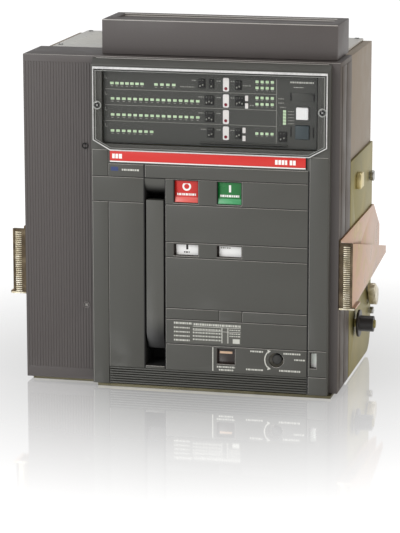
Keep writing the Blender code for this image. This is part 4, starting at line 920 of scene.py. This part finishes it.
flag_x, flag_y, _ = measure("spring_flag")
mesh = bmesh.new()
mark(mesh, (flag_x[0] + 0.6, flag_x[1] - 0.6), (145.0, 160.8), flag_y[0], 0.1)
finish_piece("spring_flag_charged_field", mesh, flag_yellow, body_of("spring_flag"))
mesh = bmesh.new()
caption(mesh, flag_x[0] + 5, flag_x[0] + 17, 173.4, flag_y[0], 1.6)
caption(mesh, flag_x[0] + 6, flag_x[1] - 8, 154.0, flag_y[0] - 0.1, 2.0)
finish_piece("spring_flag_print", mesh, print_grey, body_of("spring_flag"))
flag_x, flag_y, _ = measure("racking_flag")
mesh = bmesh.new()
mark(mesh, (flag_x[0] + 1, flag_x[1] - 1), (31.5, 37.5), flag_y[0])
finish_piece("racking_flag_print", mesh, white_enamel, body_of("racking_flag"))

# Brown-black liners inside the windows: painted shade on the recess walls
LINER_FRONT = COVER_FACE - 0.3


def liner(mesh, x, z, thick, deep):
    """The thin wall of an opening, from just proud of the cover to a depth behind its face."""
    rim(mesh, [(x[0], z[1]), (x[1], z[1]), (x[1], z[0]), (x[0], z[0])], thick, LINER_FRONT, COVER_FACE + deep,
        0.08)


mesh = bmesh.new()
for x, z, thick, deep in ((off_hole, WINDOW_Z, 0.5, 5.7), (on_hole, WINDOW_Z, 0.5, 5.7),
                          (*PILLAR_WINDOW, 0.3, 5.7), (lock_hole, lock_hole_z, 0.5, 2.9)):
    liner(mesh, x, z, thick, deep)
finish_piece("window_liners", mesh, flag_back_and_recess_shade_brown)
# Near-black walls round the button openings: painted shade.
mesh = bmesh.new()
for x in (off_hole, on_hole):
    liner(mesh, x, button_hole, 0.7, 2.9)
finish_piece("button_liners", mesh, shadow_gap)

# ---------------------------------------------------------------------------------------------
# Charging lever: a long hollow-backed moulding in a dark pocket, hinged near its foot.
# ---------------------------------------------------------------------------------------------
mesh = bmesh.new()
SCOOP = 22.0
start = [mesh.verts.new(at(x, COVER_FACE - 0.2, POCKET_Z[1] + 0.1)) for x in (POCKET_X[0] + 0.1, POCKET_X[1] - 0.1)]
edge = mesh.edges.new(start)
bmesh.ops.spin(mesh, geom=[*start, edge], cent=at(0, COVER_FACE - 0.2 + SCOOP, POCKET_Z[1] + 0.1), axis=(1, 0, 0),
               angle=math.radians(75), steps=14, use_merge=False, use_duplicate=False)
mesh.normal_update()
thicken(mesh, 0.6, 0.6)


def shaded_by_depth(name, low, high, roughness, z_dark, z_light):
    """The cover's resin with painted shade: darkened to near black where it runs down into the pocket, between two
    heights.
    """
    made = moulded(name, low, high, roughness)
    tree = made.node_tree
    shader = next(n for n in tree.nodes if n.type == "BSDF_PRINCIPLED")
    tone = shader.inputs["Base Color"].links[0].from_socket
    place = add_node(tree, "TexCoord")
    split = add_node(tree, "SeparateXYZ", (), (), {0: place.outputs["Object"]})
    depth = add_node(tree, "MapRange", {"interpolation_type": "SMOOTHSTEP"},
                     {"From Min": at(0, 0, z_dark).z, "From Max": at(0, 0, z_light).z}, {"Value": split.outputs["Z"]})
    painted_shade_mix = add_node(tree, "MixRGB", (), {"Color1": linear("#050505")},
                    {"Fac": depth.outputs[0], "Color2": tone})
    tree.links.new(painted_shade_mix.outputs[0], shader.inputs["Base Color"])
    return made


# The scoop and the lever darken to near black towards the pocket: painted shade.
scoop_grey = shaded_by_depth("polyester_scoop_painted_shade", "#444440", "#4F4F4A", 0.46, 236, 250)
finish_piece("pocket_scoop", mesh, scoop_grey)
lever_grey = shaded_by_depth("polyamide_lever_painted_shade", "#484844", "#53534E", 0.38, 58, 88)
softened("charging_lever", "charging_lever_arm", lever_grey, 1.1, 3)

# ---------------------------------------------------------------------------------------------
# Lower controls: racking lock with its window, crank socket, printed scale and rating plate.
# ---------------------------------------------------------------------------------------------
# Dark brown and beige ABS: satin, with a fine even grain.
lock_brown = moulded("dark_brown_abs", "#2A2220", "#38302C", 0.35)
lock_bar = moulded("beige_abs", "#C9A88C", "#D8B89C", 0.4)
softened("racking_lock", "racking_lock_cap", lock_brown, 0.5, 2)
lock_cap_x = (lock_x[0] + FLANGE, lock_x[1] - FLANGE)
lock_face = measure("racking_lock")[1][0]
mesh = bmesh.new()
soft_mark(mesh, (lock_cap_x[0] + 2.4, lock_cap_x[1] - 3.4), (44.6, 47.4), lock_face, 0.8, 0.3, 2)
finish_piece("racking_lock_bar", mesh, lock_bar, body_of("racking_lock"))

mesh = bmesh.new()
mark(mesh, (42.9, 44.1), (23.2, 52.4), PANEL_FACE)
for x0, x1, z, height in ((48.5, 70.8, 28.6, 2.0), (51.0, 69.0, 25.0, 2.0), (89.5, 105.0, 50.0, 2.0),
                          (84.4, 105.0, 27.4, 2.0), (129.9, 150.4, 49.2, 2.0), (143.0, 156.0, 42.2, 1.8),
                          (124.8, 150.4, 28.0, 2.2)):
    caption(mesh, x0, x1, z, PANEL_FACE, height)
finish_piece("lower_print", mesh, print_white)

# The arrow that says which way the crank turns: an arc between two heads
mesh = bmesh.new()
ARC_HALF = 0.72
ends = [mesh.verts.new(at(CRANK[0] - reach * math.cos(ARC_HALF), PANEL_FACE - 0.15,
                          CRANK[1] + reach * math.sin(ARC_HALF))) for reach in (14.6, 13.2)]
edge = mesh.edges.new(ends)
bmesh.ops.spin(mesh, geom=[*ends, edge], cent=at(CRANK[0], 0, CRANK[1]), axis=(0, 1, 0), angle=-2 * ARC_HALF,
               steps=20, use_merge=False, use_duplicate=False)
thicken(mesh, 0.2)
for sign in (1, -1):
    tip = at(CRANK[0] - 13.9 * math.cos(0.86), 0, CRANK[1] + sign * 13.9 * math.sin(0.86))
    turn = Matrix.Translation((tip.x, at(0, PANEL_FACE - 0.05, 0).y, tip.z))
    turn = turn @ Matrix.Rotation(math.pi / 2, 4, "X") @ Matrix.Rotation(math.radians(30 + sign * 12), 4, "Z")
    drum(mesh, turn, 2.7, 2.7, 0.2, 3)
finish_piece("crank_arrow", mesh, print_white)

# Rating plate: printed aluminium foil, a grid of fields with short lines of print
# Printed aluminium foil: dark, smooth and faintly shiny.
plate_metal = moulded("printed_foil_dark", "#4E4E49", "#5C5C56", 0.35, relief=0.05)
PLATE_X, PLATE_Z = (-5.1, 78.4), (56.6, 82.4)
mesh = bmesh.new()
soft_mark(mesh, PLATE_X, PLATE_Z, PANEL_FACE, 0.25, 0.1, 1)
finish_piece("rating_plate", mesh, plate_metal)
mesh = bmesh.new()
face = PANEL_FACE - 0.25
caption(mesh, -4.4, 18, 80.2, face, 2.4)
caption(mesh, 20, 77.5, 79.6, face, 2.6)
for z, height in ((74.6, 1.6), (69.4, 1.6), (64.4, 1.6), (59.2, 2.0)):
    caption(mesh, -4.4, 15, z, face, height)
for row in range(4):
    z = 61.0 + row * 4.2
    for column in range(9):
        x = 19.0 + column * 4.0
        caption(mesh, x, x + 3.2, z, face, 1.8)
for z in (77.0, 72.0):
    mark(mesh, (19, 78), (z - 0.25, z + 0.25), face)
for x in (54.2, 55.2, 61.5, 62.4):
    mark(mesh, (x - 0.25, x + 0.25), (58, 77), face)
caption(mesh, 64, 77, 74.5, face, 1.2)
caption(mesh, 64, 77, 70.0, face, 1.2)
caption(mesh, 64, 77, 67.0, face, 1.2)
mark(mesh, (68, 76.5), (58.2, 63.8), face)
finish_piece("rating_plate_print", mesh, print_white)

# ---------------------------------------------------------------------------------------------
# Sliding contact block: the long moulded block on the roof that meets the fixed part's contacts.
# ---------------------------------------------------------------------------------------------
mesh = copy_of("sliding_contact_block")
rounds = soften(mesh, sharp_edges(mesh), 0.9, 2)
# Rounds facing forward and up take the lighter resin: painted highlight.
for f in rounds:
    if f.is_valid and f.normal.y < -0.3 and f.normal.z > 0.3:
        f.material_index = 1
finish_piece("sliding_contact_housing", mesh, [polyester_casing, painted_highlight_edge],
             replaces=["sliding_contact_block"])

# ---------------------------------------------------------------------------------------------
# Poles: one insulating case in beige resin, open at the top where four arc chutes are screwed.
# ---------------------------------------------------------------------------------------------
# Sheet moulding compound and glass laminate: pale, dull, with a coarse cloudy grain.
beige_resin = moulded("beige_sheet_moulding_compound", "#83796A", "#96897A", 0.55, grain=1.6, relief=0.4, cloud=30)
chute_white = moulded("white_fibreglass_laminate", "#BDBCB7", "#D2D1CC", 0.45, grain=1.4, relief=0.3)
softened("pole_case", "pole_case_shell", beige_resin, 0.8, 2)
chute_screws = bmesh.new()
for number in range(1, 5):
    name = f"arc_chute_{number}"
    softened(name, name + "_shell", chute_white, 0.8, 2)
    x, y, z = measure(name)
    mesh = bmesh.new()
    for step in range(9):
        low = y[0] + 26 + step * 13
        soft_bar(mesh, (x[0] + 16, x[1] - 16), (low, low + 7), (z[1] - 0.1, z[1] + 0.7), 0.35, 2)
    finish_piece(name + "_vents", mesh, chute_white)
    for sx in (x[0] + 7, x[1] - 7):
        for sy in (y[0] + 12, y[1] - 8):
            head = drum(chute_screws, Matrix.Translation(at(sx, sy, z[1] + 0.6)), 3.4, 2.6, 1.2, 20)
            cap = max({f for v in head for f in v.link_faces}, key=lambda f: f.calc_center_median().z)
            inset(chute_screws, [cap], 1.2)
            bmesh.ops.translate(chute_screws, verts=list(cap.verts), vec=(0, 0, -0.7 * MM))
finish_piece("arc_chute_screws", chute_screws, zinc_bright)

# ---------------------------------------------------------------------------------------------
# Sheet steel: side plates, base plate and brackets, pressed and yellow-passivated after zinc
# plating, which leaves olive, gold and pink patches.
# ---------------------------------------------------------------------------------------------


def plated_steel(name, colours, roughness, patch, relief=0.15):
    """Zinc plate under a coloured passivation: patches of thin-film colour over rolled steel."""
    made, tree = new_material(name)
    place = add_node(tree, "TexCoord")
    cloud = add_node(tree, "TexNoise", (), {"Scale": 1000 / patch, "Detail": 3, "Distortion": 0.5},
                     {"Vector": place.outputs["Object"]})
    ramp = add_node(tree, "ValToRGB", (), (), {"Fac": cloud.outputs["Fac"]})
    stops = ramp.color_ramp.elements
    stops[0].position, stops[0].color = 0.25, linear(colours[0])
    stops[1].position, stops[1].color = 0.75, linear(colours[-1])
    for i, colour in enumerate(colours[1:-1], 1):
        stop = stops.new(0.25 + 0.50 * i / (len(colours) - 1))
        stop.color = linear(colour)
    stretch = add_node(tree, "Mapping", (), {"Scale": (900, 60, 60)}, {"Vector": place.outputs["Object"]})
    rolled = add_node(tree, "TexNoise", (), {"Scale": 1.0, "Detail": 3}, {"Vector": stretch.outputs[0]})
    dull = add_node(tree, "MapRange", (), {"To Min": roughness - 0.1, "To Max": roughness + 0.12},
                    {"Value": cloud.outputs["Fac"]})
    raised = add_node(tree, "Bump", (), {"Strength": relief, "Distance": 0.0001},
                      {"Height": rolled.outputs["Fac"]})
    shader = add_node(tree, "BsdfPrincipled", (), {"Metallic": 0.75},
                      {"Base Color": ramp.outputs[0], "Roughness": dull.outputs[0], "Normal": raised.outputs[0]})
    add_node(tree, "OutputMaterial", (), (), {"Surface": shader.outputs[0]})
    return made


# Passivated zinc in the colours its film takes: olive, gold to pink, drab and cream; the cream also serves as a
# painted highlight. The dark umber is painted shade.
olive_zinc = plated_steel("olive_passivated_zinc", ("#756D40", "#8C8350", "#A09463"), 0.45, 60)
gold_zinc = plated_steel("gold_pink_passivated_zinc", ("#8A6E4C", "#A88262", "#B58C6E", "#AE9264", "#C4A67E"),
                         0.3, 34)
drab_zinc = plated_steel("drab_passivated_zinc", ("#57533F", "#68634E", "#77725C"), 0.5, 30)
painted_shade_zinc_umber = plated_steel("umber_plating_painted_shade", ("#40372A", "#574B3A", "#7C705A"), 0.4, 14)
cream_and_highlight_zinc = plated_steel("zinc_cream_and_painted_highlight", ("#9C9075", "#CFC6AC", "#EDE8D8"), 0.3, 9)

for side in ("left", "right"):
    softened("side_plate_" + side, f"side_plate_{side}_sheet", olive_zinc, 0.4, 2)
    mesh = copy_of("support_bracket_" + side)
    soften(mesh, sharp_edges(mesh), 0.35, 2)
    # The bracket's front faces take the dark umber: painted shade.
    for f in mesh.faces:
        f.material_index = int(f.calc_center_median().y < at(0, 4.5, 0).y)
    finish_piece(f"support_bracket_{side}_sheet", mesh, [gold_zinc, painted_shade_zinc_umber],
                 replaces=["support_bracket_" + side])
    softened("bracket_bolt_" + side, f"bracket_bolt_{side}_body", zinc_bright, 0.4, 2)
softened("base_plate", "base_plate_tray", drab_zinc, 0.4, 2)

# A dark umber plate down the front of each bracket, behind the serrations: painted shade.
mesh = bmesh.new()
for side in (1, -1):
    soft_bar(mesh, sorted((side * 193.5, side * 209.0)), (2.3, 3.1), (104.5, 183.0), 0.2, 1)
finish_piece("bracket_flange_painted_shade", mesh, painted_shade_zinc_umber)

# Rolled serrations down the front flange of each bracket, and a foot, in cream: painted highlight
mesh = bmesh.new()
for side in (1, -1):
    z = 106.0
    while z < 180.0:
        x = sorted((side * 198.6, side * 206.6))
        soft_bar(mesh, x, (1.6, 3.2), (z, z + 1.2), 0.4, 2)
        z += 2.5
    soft_bar(mesh, sorted((side * 193.6, side * 212.5)), (1.6, 3.4), (103.0, 105.0), 0.4, 2)
finish_piece("bracket_serrations", mesh, cream_and_highlight_zinc)

# The tab lanced out of the upper side plate, and the bright ring of the rear fixing
mesh = bmesh.new()
for side in (1, -1):
    edges = cuboid(mesh, sorted((side * 193.2, side * 199.0)), (118, 142), (228, 247))
    soften(mesh, [e for e in edges if abs(e.verts[0].co.x - e.verts[1].co.x) > 1e-4
                  and max(v.co.z for v in e.verts) > at(0, 0, 240).z], 8, 5)
    soften(mesh, sharp_edges(mesh, 60), 0.5, 2)
# The same plating in a pale straw, for tabs that face the light: painted light.
painted_light_zinc_tab = plated_steel("straw_zinc_painted_light", ("#B5A468", "#CDBD84", "#DCCFA0"), 0.35, 30)
finish_piece("side_plate_tabs", mesh, painted_light_zinc_tab)
mesh = bmesh.new()
for side in (1, -1):
    for y, z, radius in ((221, 227, 6.5), (230, 51, 4.5), (103, 119, 3.5)):
        turn = Matrix.Translation(at(side * 196.5, y, z)) @ Matrix.Rotation(math.pi / 2, 4, "Y")
        drum(mesh, turn, radius, radius, 5, 28)
soften(mesh, sharp_edges(mesh, 60), 0.8, 3)
finish_piece("side_plate_studs", mesh, zinc_bright)

# ---------------------------------------------------------------------------------------------
# Rollers: black polyamide wheels, flanged, on pins of the side plates.
# ---------------------------------------------------------------------------------------------
# Polyamide: black, satin, worn a little smoother where it rolls.
black_polyamide = moulded("black_polyamide", "#161312", "#221E1C", 0.35)
for side in ("left", "right"):
    softened("side_roller_" + side, f"side_roller_{side}_wheel", black_polyamide, 0.8, 2)

# ---------------------------------------------------------------------------------------------
# Everything inside and behind: terminals, sensors, contacts, shafts and the spring mechanism,
# each kept in its own shape and given its real finish.
# ---------------------------------------------------------------------------------------------
# Silver-plated copper: pale, slightly tarnished warm grey with a soft gloss.
silvered_copper = plated_steel("silver_plated_copper", ("#B9A58F", "#CBBFB0", "#D8D2C8"), 0.35, 18)
# Bare copper: bright rose metal with brown tarnish clouds.
bare_copper = plated_steel("bare_copper", ("#A8623F", "#C67B52", "#D6936B"), 0.32, 14)
# Cast epoxy and stove enamel: dark and even, with a satin gloss.
sensor_resin = moulded("dark_epoxy", "#1F2024", "#2B2C31", 0.45)
motor_paint = moulded("black_stove_enamel", "#1B1B1C", "#262627", 0.4)
# Phosphated steel: matt and nearly black.
shutter_grey = moulded("phosphated_steel", "#2C2C2A", "#3A3A37", 0.5)
x, y, z = measure("racking_screw")
mesh = bmesh.new()
drum(mesh, facing((x[0] + x[1]) / 2, y[0] - 0.1, (z[0] + z[1]) / 2), 5.2, 5.2, 0.8, 32)
soften(mesh, sharp_edges(mesh, 60), 0.2, 2)
finish_piece("crank_socket_shutter", mesh, shutter_grey, body_of("racking_screw"))
# Grey polyamide: plain, satin, with a fine grain.
inside_grey = moulded("grey_polyamide", "#6B6C6A", "#7B7C7A", 0.45)

for node, metal, width, slot in (
    *((f"upper_terminal_{n}", silvered_copper, 0.6, "copper") for n in range(1, 5)),
    *((f"lower_terminal_{n}", silvered_copper, 0.6, "copper") for n in range(1, 5)),
    *((f"contact_arm_{n}", bare_copper, 0.4, "copper") for n in range(1, 5)),
    *((f"current_sensor_{n}", sensor_resin, 0.8, "dark_plastic") for n in range(1, 5)),
    ("pole_shaft", zinc_bright, 0.4, "steel"),
    ("mechanism_frame", olive_zinc, 0.3, "zinc_steel"),
    ("charging_camshaft", zinc_bright, 0.3, "steel"),
    ("closing_spring", zinc_bright, 0.3, "steel"),
    ("charging_motor", motor_paint, 0.6, "dark_plastic"),
    ("opening_release", inside_grey, 0.5, "dark_plastic"),
    ("closing_release", inside_grey, 0.5, "dark_plastic"),
    ("auxiliary_contacts", inside_grey, 0.5, "dark_plastic"),
    ("racking_screw", shutter_grey, 0.3, "steel"),
    ("racking_shaft", cream_and_highlight_zinc, 0.4, "steel"),
):
    softened(node, node + "_body", metal, width, 2)
